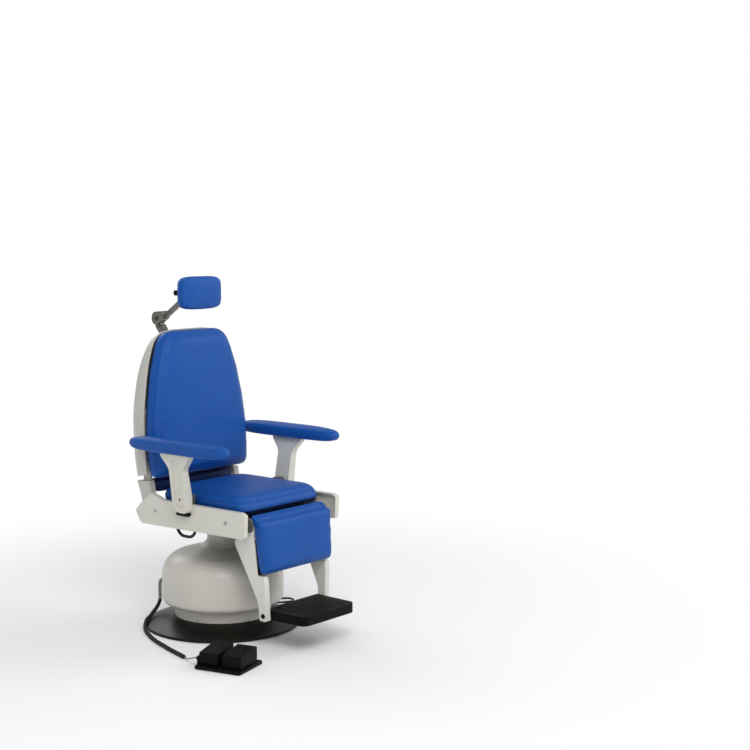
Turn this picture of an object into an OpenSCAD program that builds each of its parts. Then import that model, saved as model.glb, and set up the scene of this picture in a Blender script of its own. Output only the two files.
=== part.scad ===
// Electric examination chair for ear, nose and throat work.
// Origin on the floor under the centre of the base. The sitter faces -Y, +X is the sitter's left, +Z is up.
// Lengths are in millimetres. Every piece is drawn with the lift down, the back up and the arms forward.

/* [Base and pedestal] */
// Radius of the round base plate
base_r = 315; // [300:1:330]
// Height of the base plate's outer rim above the floor
rim_h = 12.5; // [11:0.5:15]
// Thickness of the rubber mat under the base plate
mat_t = 3; // [2:0.5:4]
// Radius of the skirt ring that stands on the base plate
skirt_r = 197; // [193:1:201]
// Height of the foot of the skirt ring
skirt_z = 47; // [43:1:51]
// Wall of the skirt ring
skirt_wall = 3; // [2:0.5:4]
// Height of the bottom of the pedestal shell
pedestal_z = 90; // [87:1:93]
// Largest radius of the pedestal shell
pedestal_r = 246; // [240:1:250]
// Height of the shoulder where the pedestal shell starts to close
shoulder_z = 212; // [206:1:218]
// Radius of the shoulder of the pedestal shell
shoulder_r = 90; // [82:1:95]
// Wall of the pedestal shell
shell_wall = 4; // [3:0.5:5]

/* [Lift and swivel] */
// Radius of the lifting column
column_r = 60; // [57:1:62]
// Wall of the lifting column
column_wall = 5; // [4:0.5:6]
// Travel of the lift
lift_travel = 180; // [150:5:185]
// Height of the underside of the column's head flange
flange_z = 416; // [414:1:418]
// Thickness of the column's head flange
flange_t = 8; // [6:0.5:10]

/* [Seat] */
// Height of the hinges of the back and the leg rest with the lift down
hinge_z = 486; // [482:1:490]
// Place of the back hinge along the seat
back_y = 165; // [162:1:168]
// Place of the leg rest hinge along the seat
leg_y = -350; // [-353:1:-347]
// Inner face of the side rails, from the middle of the seat
rail_x = 204; // [202:1:206]
// Thickness of the side rails
rail_t = 10; // [8:0.5:11]
// Inner face of the side panels, from the middle of the seat
panel_x = 250.5; // [250:0.5:254]
// Thickness of the side panels
panel_t = 20.5; // [18:0.5:24]
// Wall of the side panels
panel_wall = 4; // [3:0.5:5]
// Half width of the seat cushion
seat_half_w = 234; // [222:1:234]
// Height of the crowned seat cushion
seat_thick = 54; // [40:1:60]

/* [Back and headrest] */
// Lean of the back from upright
back_lean = 4; // [2:0.5:6]
// Half width of the back cushion at its widest
back_half_w = 264; // [250:1:266]
// Height of the top of the back above its hinge, along the back
back_top = 706; // [690:1:715]
// Height of the bottom of the back cushion above its hinge, along the back
back_low = 122; // [120:1:132]
// Thickness of the back cushion at its crown
back_thick = 74; // [60:1:80]
// Half width of the rear shell at its widest
shell_half_w = 268; // [266:1:270]
// Depth of the rear shell behind the back cushion
shell_depth = 186; // [180:1:190]
// Length of the link bar of the headrest between its two joints
head_arm_l = 228; // [222:1:232]
// Half width of the headrest pad
head_half_w = 113; // [105:1:125]

/* [Leg rest] */
// Length of the leg plates below their hinge
leg_l = 376; // [366:1:386]
// Thickness of each leg plate
leg_t = 25; // [22:0.5:26]
// Half width of the leg cushion at its top
leg_half_w = 206; // [190:1:208]
// Thickness of the leg cushion
leg_thick = 44; // [38:1:46]
// Radius of the cranks that tie the back to the leg rest
crank_r = 40; // [38:0.5:42]
// Length of the footplate
footplate_l = 205; // [195:1:212]

/* [Arms] */
// Height of the top of the arm posts
post_top = 738; // [728:1:746]
// Width of the stem of the arm posts
stem_w = 75; // [70:1:82]
// Thickness of the arm posts
post_t = 25; // [22:0.5:27]
// Length of the arm pads
arm_pad_l = 538; // [520:2:550]
// Thickness of the arm pads
arm_pad_h = 52; // [48:1:58]

/* [Foot switch] */
// Length of the foot switch across its treadles
switch_w = 194; // [190:1:200]
// Depth of the foot switch along its treadles
switch_d = 168; // [164:1:174]
// Width of each treadle
treadle_w = 78; // [74:1:79]

/* [Hidden] */
// Shared clearances: cuts overrun by cut, shafts run in bores wider by run, flat faces that slide stay
// slide apart
cut = 1;
run = 0.05;
slide = 0.3;
$fn = 64;
form_fn = 32;

// Base plate: its floor, the boss that the skirt stands on and its broken edges
plate_floor = 12;
plate_boss = 10;
edge = 1.5;
mat_r = base_r - 5 * mat_t;

// Skirt screws
skirt_screws = 6;
skirt_screw_r = 4;
skirt_screw_h = 2;
skirt_screw_z = skirt_z + 3 * skirt_screw_r / 2;

// Pedestal shell: foot lip, foot curve, slope of its roof and the opening for the column
lip_w = 16;
foot_rise = 28;
foot_run = 40;
roof_slope = 15;
roof_hole_r = 76;
arc_steps = 8;

// Column guide, its bush and its bolted foot
guide_wall = 6;
bush_wall = 4;
guide_top = 300;
bush_h = 60;
bush_lip = 3;
guide_foot_r = 95;
guide_foot_t = 10;
guide_bolt_r = 5;
column_up = 55;
column_low = mat_t + plate_floor + column_up;

// Lift motor: gearbox, motor and the tube that the spindle runs in
gearbox_h = 38;
gearbox_w = 56;
gearbox_l = 180;
gearbox_back = 30;
motor_r = 32;
motor_h = 128;
motor_x = 118;
tube_r = 20;
tube_wall = 6;
tube_top = 262;
rod_low = mat_t + plate_floor + guide_foot_t + gearbox_h + 2 * cut;

// Control box and power inlet: the box keeps clear of the guide tube's foot and of the skirt
box_gap_in = 11;
box_gap_out = 25;
box_x = box_gap_out - skirt_r;
box_size = [-box_x - guide_foot_r - box_gap_in, 116, 92];
inlet_w = 48;
inlet_h = 26;
inlet_depth = 30;
inlet_wall = 4;
inlet_recess = 17;
inlet_z = 68;
blade_size = [2, 9, 5];
blade_gap = 7;

// Brake lever: its place round the base, its rod, loop and brackets
brake_at = -32;
brake_z = 70;
brake_rod_r = 4;
brake_half = 30;
brake_y = skirt_r + 2 * brake_rod_r;
brake_short = 20;
brake_reach = base_r - brake_short;
brake_lug_t = 8;
brake_lug_x = 14;
brake_plate_t = 9;
brake_plate_h = 24;

// Head flange, swivel races and neck cover
head_r = 110;
race_out = 105;
race_in = 70;
race_t = 6;
race_gap = 0.3;
neck_wall = 2.5;
neck_foot_r = 92;
neck_heights_share = [[0, 1], [0.03, 0.82], [0.06, 0.65], [0.11, 0.45], [0.2, 0.2], [0.29, 0.06], [0.38, 0],
    [1, 0]];
rod_r = 11;

// Seat frame: mounting plate, webs, cross beams
mount_half = 150;
mount_t = 8;
web_x = 130;
web_t = 12;
web_half_y = 115;
beam_h = 22;
beam_w = 40;
beam_y = 95;

// Rails: ends, heights and the bracket for the arm pins
rail_top = hinge_z + beam_h;
rail_drop = 34;
rail_low = hinge_z - rail_drop;
rail_nose = 22;
rail_tail = 27;
rail_front = leg_y - rail_nose;
rail_rear = back_y + rail_tail;
rail_round = 20;
arm_bracket_w = 40;
arm_bracket_t = 12;
arm_bracket_low = 8;

// Hinge pins and shafts
back_shaft_r = 12;
leg_pin_r = 8;
arm_pin_r = 7;
pin_head_t = 3;
pin_head_r = 12;
crank_pin_r = 6;

// Side panels: outline from the front low corner, as shares of length and height
panel_l = 608;
panel_h = 128;
panel_front = -391;
panel_drop = 55;
panel_low = hinge_z - panel_drop;
panel_share = [[0.007, 0.07], [0.942, 0], [0.965, 0.1], [1, 0.39], [0.949, 0.633], [0.849, 1],
    [0.737, 0.836], [0.033, 0.844], [0, 0.773]];
panel_round = [10, 8, 10, 6, 14, 14, 30, 14, 6];
panel_screw_y = [101, -291];
panel_screw_r = 7;
panel_screw_h = 2.5;
panel_screw_up = 5;
panel_screw_z = hinge_z + panel_screw_up;
boss_r = 9;

// Seat board and cushion
board_half_w = 225;
board_front = -306;
board_rear = 120;
board_up = 38.2;
board_top = hinge_z + board_up;
seat_front = -347;
seat_rear = 126;
seat_front_lean = 25;

// Back frame in the back's own upright frame, y behind the hinge and z above it
back_hub_r = 28;
back_arm_x = 223;
back_arm_t = 26;
back_arm_top = 113;
back_arm_share = [[-0.2, 0.52], [-0.14, 1], [0.5, 1], [0.35, 0.55]];
strap_t = 10;
strap_w = 40;
strap_front = -5;
strap_top = 400;
bar_h = 22;
bar_front = -12;
bar_t = 26;
bar_low_z = 92;
bar_low_y = 17;
back_crank_x = 171.5;
back_crank_t = 12.5;

// Rear shell: where its front edge lies, its wall and its outline up the back
shell_front = -20;
back_shell_wall = 5;
shell_low_rear = 114;
shell_low_front = 140;
shell_power = 2.2;
shell_sides = 26;
// Each row is a height, a half width and a depth, as shares of back_top, shell_half_w and shell_depth
shell_share = [[0, 0.985, 0.94], [0.05, 0.992, 0.955], [0.18, 1, 0.985], [0.4, 0.978, 1], [0.56, 0.927,
    0.955],
    [0.72, 0.855, 0.84], [0.84, 0.775, 0.66], [0.92, 0.695, 0.47], [0.965, 0.6, 0.31], [0.99, 0.48, 0.17],
    [1, 0.3, 0.06]];

// Back board, back cushion and lower pad
back_board_t = 8;
board_inset = 16.4;
// Half widths of the back cushion up its height, as shares of back_half_w and of its height
back_share = [[0, 0.965], [0.15, 0.995], [0.3, 1], [0.5, 0.955], [0.72, 0.86], [0.88, 0.745], [1, 0.62]];
back_round = 46;
back_crown_share = 0.25;
lower_pad_w = 220;
lower_pad_z = 60;
lower_pad_h = 59;
lower_pad_t = 40;
lower_pad_y = -23;

// Headrest: post, socket, clamp, link bar and pad, in the sitter's upright frame
clamp_y = 364;
clamp_z = 1230;
post_lean = 17.5;
head_post_w = 40;
head_post_t = 20;
post_bend = 75;
post_step = 17;
post_l = 360;
socket_l = 200;
socket_from = 205;
socket_wall = 6;
clamp_r = 28;
clamp_disc = 8;
fork_t = 6;
clamp_bolt_r = 5;
knob_r = 15;
knob_l = 14;
knob_lobes = 8;
bar_deep = 19;
bar_step = 15;
tilt_r = 14;
tilt_bolt_r = 4;
tilt_cheek = 6;
tilt_shaft_x = -70;
tilt_knob_r = 11;
tilt_knob_l = 18;
head_pad_h = 137;
head_pad_t = 49;
head_plate_t = 5;
head_plate_w = 90;
head_plate_h = 60;
arm_lean = 60.3;
tilt_y = clamp_y - head_arm_l * sin(arm_lean);
tilt_z = clamp_z + head_arm_l * cos(arm_lean);
pad_to_tilt = 26.5;
head_pad_back = tilt_y - pad_to_tilt;

// Leg rest, from its hinge: outline of the leg plates as shares of leg_l
leg_x = 171;
leg_in = 16;
leg_hub_r = 18;
leg_rear_share = [[-0.077, -1], [-0.066, -0.81], [0.08, -0.524], [0.237, -0.229], [0.16, -0.11], [0.045,
    0.01]];
leg_toe_share = [-0.168, -1];
leg_shin_share = [-0.168, -0.61];
leg_slot_in = 5;
leg_bar_r = 9;
leg_bar_share = [[0.005, -0.186], [-0.015, -0.4]];
leg_face_top = [-58, 5];
leg_face_low = [-80, -197];
leg_tongue_r = 38.5;
leg_board_t = 6;
leg_board_top = -64;
leg_taper_share = 0.93;
leg_pad_end = 18;
leg_tongue_in = 5;
leg_tongue_y = -30;
leg_pad_round = [14, 20, 8, 6, 4, 4, 2, 3, 5];

// Footplate
foot_out = 49;
plate_rise = 21;
footplate_y = leg_y - foot_out;
footplate_z = hinge_z - leg_l + plate_rise;
footplate_t = 37;
footplate_rear = 22;
footplate_half = 153;
footplate_nose = 147;
footplate_round = 28;
foot_pin_r = 6;
foot_rib_w = 5;
foot_rib_h = 1.5;
foot_ribs = 7;

// Link bars
link_x = 164;
link_t = 6;
link_r = 8;

// Arm posts, pads and latches
arm_y = -75;
arm_pin_up = 74;
arm_pin_z = hinge_z + arm_pin_up;
arm_boss_r = 16;
post_up = 22;
post_low = hinge_z + post_up;
post_gap = 0.4;
post_out_low = 302;
post_out_top = 330;
post_top_front = -154;
post_top_rear = 3;
post_neck = 95;
post_toe_round = 16;
post_heel_round = 34;
post_round = 36;
flange_round = 3;
channel_depth = 4;
channel_w = 44;
channel_round = [6, 6, 6, 6];
post_screw_z = [596, 695];
post_screw_r = 6;
arm_pad_w = 74;
arm_pad_front = -350;
arm_pad_x = 311;
// Rows of an arm pad, with its lower edges rounded more than the other cushions'
arm_pad_share = [[0.7, 0], [0.87, 0.05], [0.96, 0.16], [1, 0.34], [1, 0.55], [0.985, 0.72], [0.95, 0.85],
    [0.87, 0.93],
    [0.72, 0.975], [0.5, 0.993], [0.3, 1]];
latch_l = 66;
latch_h = 13;
latch_t = 17;
latch_rear = -38;
latch_pin_r = 4;
latch_up = 7.5;
latch_low = hinge_z + latch_up;

// Recline lever and its brackets under the near rail
lever_x = -235;
lever_rod_r = 6;
lever_axle_r = 5;
lever_axle_x = -205;
lever_axle_z = 440;
lever_mid = -38;
lever_half = 52;
lever_round = 40;
lever_lug_t = 6;
lever_lug_gap = 8;

// Foot switch in its own frame, x along the treadles and y across them
switch_at = [-415, -446];
switch_turn = 14;
switch_plate_t = 10;
switch_feet_h = 3;
switch_foot_r = 9;
switch_round = 8;
treadle_l = 115;
treadle_rear = -60;
treadle_mid = 50;
treadle_high = 75;
treadle_step = 58;
treadle_wall = 4;
treadle_round = [2, 4, 6, 9];
treadle_lift = 13;
treadle_pin_r = 3;
treadle_pin_z = 22;
treadle_pin_in = 10;
lug_w = 20;
contact_w = 36;
contact_top = 40;
plunger_r = 5;
gland_wall_x = [-62, -22];
gland_wall_t = 7.2;
gland_wall_top = 44;
wire_gland_z = 30;
wire_gland_r = 7;
wire_gland_l = 12;

// Cord: its gland on the pedestal, the wound guard, the ribbed conduit and the thin wire
gland_at = 112;
gland_z = 160;
gland_r = 13;
gland_out = 18;
gland_in = 6;
guard_bend = 18.6;
guard_r = 7;
guard_wire_r = 1.1;
guard_turns = 14;
guard_low = 75;
conduit_r = 8;
conduit_groove = 6.8;
conduit_bore = 5;
conduit_ribs = 50;
wire_r = 2.2;
conduit_route = [[-106.3, 263, 75], [-109, 264.5, 63], [-119, 264, 49], [-137, 259, 38], [-162, 247, 31],
    [-194, 227, 27], [-233, 203, 25], [-261, 179, 20.5], [-286, 154.5, 14], [-314, 116, 9], [-338, 74, 8],
    [-359, 34, 8], [-376, -5, 8], [-391, -45, 8], [-404, -85, 8], [-418, -126, 8], [-430, -166, 8],
    [-441, -206, 8], [-454, -250, 8]];
wire_route = [[-457, -260, 8.2], [-465, -277, 10], [-473, -292, 13], [-480, -306, 17.5], [-484.5, -319, 22.5],
    [-485.5, -330, 26.5], [-483, -341, 29.2], [-480.1, -350, 30]];

// Unit vector, and the left normal of a step in a plane
function unit(v) = v / norm(v);
function left_of(a, b) = let (d = unit(b - a)) [-d.y, d.x];
// Item before and after an item of a closed list
function before(list, i) = list[(i + len(list) - 1) % len(list)];
function after(list, i) = list[(i + 1) % len(list)];

// Arc that rounds one corner of an outline
function corner_arc(a, b, c, r, steps) =
    let (u = unit(a - b), v = unit(c - b), half = acos(u * v) / 2, mid = b + unit(u + v) * r / sin(half),
        from = b + u * r / tan(half) - mid, to = b + v * r / tan(half) - mid,
        start = atan2(from.y, from.x), turn = atan2(to.y, to.x) - start,
        sweep = turn > 180 ? turn - 360 : turn < -180 ? turn + 360 : turn)
    r == 0 ? [b] : [for (i = [0:steps]) mid + r * [cos(start + sweep * i / steps), sin(start
        + sweep * i / steps)]];
// Outline with a radius at each corner
function rounded(pts, radii, steps = 5) =
    [for (i = [0:len(pts) - 1]) each corner_arc(before(pts, i), pts[i], after(pts, i), radii[i], steps)];
// Outline moved inwards by a wall
function inset(pts, wall) =
    [for (i = [0:len(pts) - 1])
        let (m = left_of(before(pts, i), pts[i]), n = left_of(pts[i], after(pts, i)))
        pts[i] + (m + n) * wall / (1 + m * n)];
// Table of shares scaled to real sizes about a corner
function placed(shares, at, size) = [for (s = shares) [at.x + s.x * size.x, at.y + s.y * size.y]];

// Smooth route through points chosen by hand, as its points and its lengths so far
function spline(a, b, c, d, t) =
    (2 * b + (c - a) * t + (2 * a - 5 * b + 4 * c - d) * t * t + (3 * b - a - 3 * c + d) * t * t * t) / 2;
function smooth(route, steps) = concat([for (i = [0:len(route) - 2], k = [0:steps - 1])
    spline(route[max(i - 1, 0)], route[i], route[i + 1], route[min(i + 2, len(route) - 1)], k / steps)],
    [route[len(route) - 1]]);
function lengths(pts, i = 0, sum = 0) = i == len(pts) - 1 ? [sum]
    : concat([sum], lengths(pts, i + 1, sum + norm(pts[i + 1] - pts[i])));
// Points at even steps along a route
function even(pts, count) =
    let (run_so_far = lengths(pts), total = run_so_far[len(pts) - 1],
        xs = [for (i = [0:len(pts) - 1]) [run_so_far[i], pts[i].x]],
        ys = [for (i = [0:len(pts) - 1]) [run_so_far[i], pts[i].y]],
        zs = [for (i = [0:len(pts) - 1]) [run_so_far[i], pts[i].z]])
    [for (k = [0:count]) let (s = total * k / count) [lookup(s, xs), lookup(s, ys), lookup(s, zs)]];
// Direction of a route at one of its points, and a ring of a tube there
function heading(pts, i) = unit(pts[min(i + 1, len(pts) - 1)] - pts[max(i - 1, 0)]);
function tube_ring(at, along, side, r, sides) =
    let (u = unit(cross(along, side)), v = cross(along, u))
    [for (k = [0:sides - 1]) at + r * (cos(360 * k / sides) * u + sin(360 * k / sides) * v)];

// Solid skin over rings of equal count, closed by a fan at each end
module loft(rings) {
    m = len(rings);
    n = len(rings[0]);
    first = [for (k = [0:2]) [for (p = rings[0]) p[k]] * [for (p = rings[0]) 1] / n];
    last = [for (k = [0:2]) [for (p = rings[m - 1]) p[k]] * [for (p = rings[m - 1]) 1] / n];
    points = concat([for (ring = rings) each ring], [first, last]);
    sides = [for (i = [0:m - 2], k = [0:n - 1]) each
        let (a = i * n + k, b = i * n + (k + 1) % n) [[a, b + n, b], [a, a + n, b + n]]];
    ends = [for (k = [0:n - 1]) each
        [[m * n, k, (k + 1) % n], [m * n + 1, (m - 1) * n + (k + 1) % n, (m - 1) * n + k]]];
    polyhedron(points, concat(sides, ends));
}

// Tube wall over outer rings and inner rings, open at both ends
module pipe(outer, inner) {
    m = len(outer);
    n = len(outer[0]);
    inner_at = m * n;
    w = len(inner);
    points = concat([for (ring = outer) each ring], [for (ring = inner) each ring]);
    faces = concat(
        [for (i = [0:m - 2], k = [0:n - 1]) each
            let (a = i * n + k, b = i * n + (k + 1) % n) [[a, b + n, b], [a, a + n, b + n]]],
        [for (i = [0:w - 2], k = [0:n - 1]) each
            let (a = inner_at + i * n + k, b = inner_at + i * n + (k + 1) % n) [[b, a + n, a], [b, b + n, a
                + n]]],
        [for (k = [0:n - 1]) each let (j = (k + 1) % n)
            [[k, inner_at + j, inner_at + k], [k, j, inner_at + j]]],
        [for (k = [0:n - 1]) each let (j = (k + 1) % n, o = (m - 1) * n, p = inner_at + (w - 1) * n)
            [[o + k, p + j, o + j], [o + k, p + k, p + j]]]);
    polyhedron(points, faces);
}

// Outline in the side view, thickened from one x to another
module across(x_from, x_to) translate([x_from, 0, 0]) rotate([90, 0, 90])
    linear_extrude(height = x_to - x_from) children();
// Outline in the front view, thickened from one y to another
module along(y_from, y_to) translate([0, y_to, 0]) rotate([90, 0, 0])
    linear_extrude(height = y_to - y_from) children();
// Box between two corners
module block(low, high) translate(low) cube(high - low);
// Round bar along X, along Y, and a ring standing on its edge
module bar_x(x_from, x_to, at, r) translate([x_from, at.x, at.y]) rotate([0, 90, 0])
    cylinder(r = r, h = x_to - x_from);
module bar_y(y_from, y_to, at, r) translate([at.x, y_from, at.y]) rotate([-90, 0, 0])
    cylinder(r = r, h = y_to - y_from);
// Round tube standing on a height
module sleeve(outer, inner, low, high) translate([0, 0, low]) difference() {
    cylinder(r = outer, h = high - low);
    translate([0, 0, -cut]) cylinder(r = inner, h = high - low + 2 * cut);
}
// The far side, the near side, or both
module side(s) mirror([s < 0 ? 1 : 0, 0, 0]) children();
module both() {
    children();
    mirror([1, 0, 0]) children();
}
// Frame of the back, upright in its own drawing
module on_back() translate([0, back_y, hinge_z]) rotate([-back_lean, 0, 0]) children();
// Frame of the headrest post, z along the post from its clamp
module on_post() translate([0, clamp_y, clamp_z]) rotate([-post_lean, 0, 0]) children();
// Frame of the headrest link bar, z from the clamp to the pad
module on_head_arm() translate([0, clamp_y, clamp_z]) rotate([arm_lean, 0, 0]) children();
// Frame of the leg rest, from its hinge
module on_leg() translate([0, leg_y, hinge_z]) children();
// Frame of the foot switch and of the brake lever
module on_switch() translate([switch_at.x, switch_at.y, 0]) rotate([0, 0, switch_turn]) children();
module on_brake() rotate([0, 0, brake_at]) children();

// Base

module base_mat() color("dimgray") cylinder(r = mat_r, h = mat_t);

module base_plate() color("black") rotate_extrude($fn = 128) polygon([
    [0, mat_t], [base_r - edge, mat_t], [base_r, mat_t + edge], [base_r, rim_h - edge], [base_r - edge,
        rim_h],
    [skirt_r, skirt_z], [skirt_r - plate_boss, skirt_z], [skirt_r - plate_boss, mat_t + plate_floor],
    [0, mat_t + plate_floor]]);

module skirt_ring() color("whitesmoke") difference() {
    sleeve(skirt_r, skirt_r - skirt_wall, skirt_z, pedestal_z);
    block([-inlet_w / 2, 0, inlet_z - inlet_h / 2], [inlet_w / 2, skirt_r + cut, inlet_z + inlet_h / 2]);
    for (i = [0:skirt_screws - 1]) skirt_screw_at(i) bar_x(-2 * skirt_wall, skirt_wall, [0, 0],
        skirt_screw_r / 2);
}

module skirt_screw_at(i) rotate([0, 0, 360 * (i + 1 / 4) / skirt_screws]) translate([skirt_r, 0,
    skirt_screw_z])
    children();

module skirt_screws() color("silver") for (i = [0:skirt_screws - 1]) skirt_screw_at(i) {
    bar_x(0, skirt_screw_h, [0, 0], skirt_screw_r);
    bar_x(-skirt_wall, 0, [0, 0], skirt_screw_r / 2 - run);
}

// Outline of the pedestal shell, moved in by a wall: foot curve, flank, shoulder and roof
function roof_edge(d) = [pedestal_r - shoulder_r + (shoulder_r - d) * sin(roof_slope),
    shoulder_z + (shoulder_r - d) * cos(roof_slope)];
function pedestal_side(d) = concat(
    [for (i = [0:arc_steps]) let (a = 90 * i / arc_steps)
        [pedestal_r - foot_run + (foot_run - d) * sin(a), pedestal_z + foot_rise - (foot_rise - d) * cos(a)]],
    [for (i = [0:arc_steps]) let (a = (90 - roof_slope) * i / arc_steps)
        [pedestal_r - shoulder_r + (shoulder_r - d) * cos(a), shoulder_z + (shoulder_r - d) * sin(a)]],
    [[roof_hole_r, roof_edge(d).y + (roof_edge(d).x - roof_hole_r) * tan(roof_slope)]]);

module pedestal_shell() color("whitesmoke") difference() {
    union() {
        rotate_extrude($fn = 128) polygon(concat(pedestal_side(0),
            [for (i = [2 * arc_steps + 2:-1:0]) pedestal_side(shell_wall)[i]]));
        sleeve(pedestal_r - foot_run + cut, skirt_r - lip_w / 2, pedestal_z, pedestal_z + shell_wall);
    }
    on_gland() cylinder(r = gland_r - shell_wall, h = 3 * gland_in, center = true);
}

module guide_tube() color("slategray") difference() {
    union() {
        sleeve(column_r + bush_wall + guide_wall, column_r + bush_wall, mat_t + plate_floor, guide_top);
        sleeve(guide_foot_r, column_r + bush_wall, mat_t + plate_floor, mat_t + plate_floor + guide_foot_t);
    }
    block([0, -gearbox_w / 2 - cut, mat_t + plate_floor + guide_foot_t],
        [guide_foot_r, gearbox_w / 2 + cut, mat_t + plate_floor + guide_foot_t + gearbox_h + cut]);
    for (i = [0:3]) rotate([0, 0, 45 + 90 * i]) translate([guide_foot_r - 2 * guide_bolt_r, 0, 0])
        cylinder(r = guide_bolt_r, h = guide_top / 2);
}

module guide_bush() color("goldenrod") {
    sleeve(column_r + bush_wall, column_r + run, guide_top - bush_h, guide_top);
    sleeve(column_r + bush_wall + guide_wall, column_r + run, guide_top, guide_top + bush_lip);
}

module lift_motor() color("gray") {
    low = mat_t + plate_floor + guide_foot_t;
    block([-gearbox_back, -gearbox_w / 2, low], [gearbox_l - gearbox_back, gearbox_w / 2, low + gearbox_h]);
    translate([motor_x, 0, low + gearbox_h]) cylinder(r = motor_r, h = motor_h);
    translate([motor_x, 0, low + gearbox_h + motor_h]) cylinder(r = motor_r / 2, h = gearbox_back / 2);
    sleeve(tube_r, tube_r - tube_wall, low + gearbox_h, tube_top);
}

module control_box() color("darkslategray") {
    low = mat_t + plate_floor;
    block([box_x, -box_size.y / 2, low], [box_x + box_size.x, box_size.y / 2, low + box_size.z]);
}

module power_inlet() color("black") difference() {
    y_face = skirt_r + skirt_wall;
    block([-inlet_w / 2, y_face - inlet_depth, inlet_z - inlet_h / 2], [inlet_w / 2, y_face, inlet_z
        + inlet_h / 2]);
    difference() {
        block([-inlet_w / 2 + inlet_wall, y_face - inlet_recess, inlet_z - inlet_h / 2 + inlet_wall],
            [inlet_w / 2 - inlet_wall, y_face + cut, inlet_z + inlet_h / 2 - inlet_wall]);
        for (k = [-1:1]) translate([k * blade_gap - blade_size.x / 2, y_face - inlet_recess,
            inlet_z - blade_size.z / 2])
            cube(blade_size);
    }
}

// Brake

module brake_bracket() color("black") on_brake() difference() {
    union() {
        block([skirt_r - brake_plate_t, -brake_half - brake_rod_r, brake_z - brake_plate_h / 2],
            [skirt_r + skirt_wall, brake_half + brake_rod_r, brake_z + brake_plate_h / 2]);
        for (s = [-1, 1]) block([skirt_r, s * (brake_lug_x + brake_lug_t / 2) - brake_lug_t / 2,
            brake_z - brake_plate_h / 2],
            [brake_y + 2 * brake_rod_r, s * (brake_lug_x + brake_lug_t / 2) + brake_lug_t / 2, brake_z
                + brake_plate_h / 2]);
    }
    translate([0, 0, skirt_z]) cylinder(r = skirt_r, h = pedestal_z, $fn = 128);
    bar_y(-brake_half - brake_rod_r - cut, brake_half + brake_rod_r + cut, [brake_y, brake_z], brake_rod_r
        + run);
}

module brake_lever() color("black") on_brake() {
    bend_x = brake_reach - brake_half;
    for (s = [-1, 1]) {
        bar_y(min(s * brake_lug_x, s * brake_half), max(s * brake_lug_x, s * brake_half), [brake_y,
            brake_z], brake_rod_r);
        translate([brake_y, s * brake_half, brake_z]) sphere(r = brake_rod_r);
        bar_x(brake_y, bend_x, [s * brake_half, brake_z], brake_rod_r);
    }
    translate([bend_x, 0, brake_z]) rotate([0, 0, -90]) rotate_extrude(angle = 180)
        translate([brake_half, 0]) circle(r = brake_rod_r, $fn = form_fn);
}

// Cord

module on_gland() rotate([0, 0, gland_at]) translate([pedestal_r, 0, gland_z]) rotate([0, 90, 0]) children();

module cord_gland() color("dimgray") on_gland() difference() {
    union() {
        translate([0, 0, run]) cylinder(r = gland_r, h = gland_out / 2, $fn = 6);
        translate([0, 0, gland_out / 2]) cylinder(r = gland_r - 2 * edge, h = gland_out / 2);
        translate([0, 0, -gland_in - shell_wall]) cylinder(r = gland_r - shell_wall - run, h = gland_in
            + shell_wall + edge);
    }
    translate([0, 0, -gland_in - shell_wall - cut]) cylinder(r = wire_r + run, h = gland_out + 3 * gland_in);
}

// Route of the guard: out of the gland, round a bend and down
out_dir = [cos(gland_at), sin(gland_at), 0];
guard_from = out_dir * (pedestal_r + gland_out + guard_wire_r) + [0, 0, gland_z];
guard_route = concat(
    [for (i = [0:arc_steps]) let (a = 90 * i / arc_steps)
        guard_from + out_dir * guard_bend * sin(a) - [0, 0, guard_bend * (1 - cos(a))]],
    [guard_from + out_dir * guard_bend - [0, 0, guard_bend + guard_low / 4],
        [(guard_from + out_dir * guard_bend).x, (guard_from + out_dir * guard_bend).y, guard_low]]);
guard_curl_points = 8;
guard_side = [out_dir.y, -out_dir.x, 0];
guard_line = even(guard_route, guard_turns * guard_curl_points);
guard_helix = [for (i = [0:len(guard_line) - 1])
    let (t = heading(guard_line, i), u = unit(cross(t, guard_side)), v = cross(u, t),
        a = 360 * i / guard_curl_points)
    guard_line[i] + guard_r * (cos(a) * u + sin(a) * v)];
// Least gap of the guard's wire to itself, between turns one curl apart
guard_gap = min([for (i = [0:len(guard_helix) - guard_curl_points - 1], k = [-1:1])
    norm(guard_helix[i + guard_curl_points + (i + guard_curl_points + k < len(guard_helix) ? k
        : 0)] - guard_helix[i])])
    - 2 * guard_wire_r;
echo(guard_gap = guard_gap);

module cord_guard() color("silver") loft([for (i = [0:len(guard_helix) - 1])
    tube_ring(guard_helix[i], heading(guard_helix, i), heading(guard_line, i), guard_wire_r, 6)]);

cord_side = [-0.766, 0.643, 0];
conduit_line = even(smooth(conduit_route, 6), 2 * conduit_ribs + 2);

module conduit() color("black") {
    outer = [for (i = [0:len(conduit_line) - 1])
        tube_ring(conduit_line[i], heading(conduit_line, i), cord_side,
            i % 2 == 1 && i < len(conduit_line) - 1 ? conduit_r : conduit_groove, 8)];
    inner = [for (i = [0:3:len(conduit_line) - 1])
        tube_ring(conduit_line[i], heading(conduit_line, i), cord_side, conduit_bore, 8)];
    pipe(outer, inner);
}

wire_line = even(smooth(concat([guard_from - out_dir * gland_out], guard_route,
    [for (i = [1:len(conduit_route) - 1]) conduit_route[i]],
    wire_route), 4), 78);

module switch_wire() color("gray") loft([for (i = [0:len(wire_line) - 1])
    tube_ring(wire_line[i], heading(wire_line, i), i < 14 ? guard_side : cord_side, wire_r, 8)]);

// Foot switch

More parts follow.
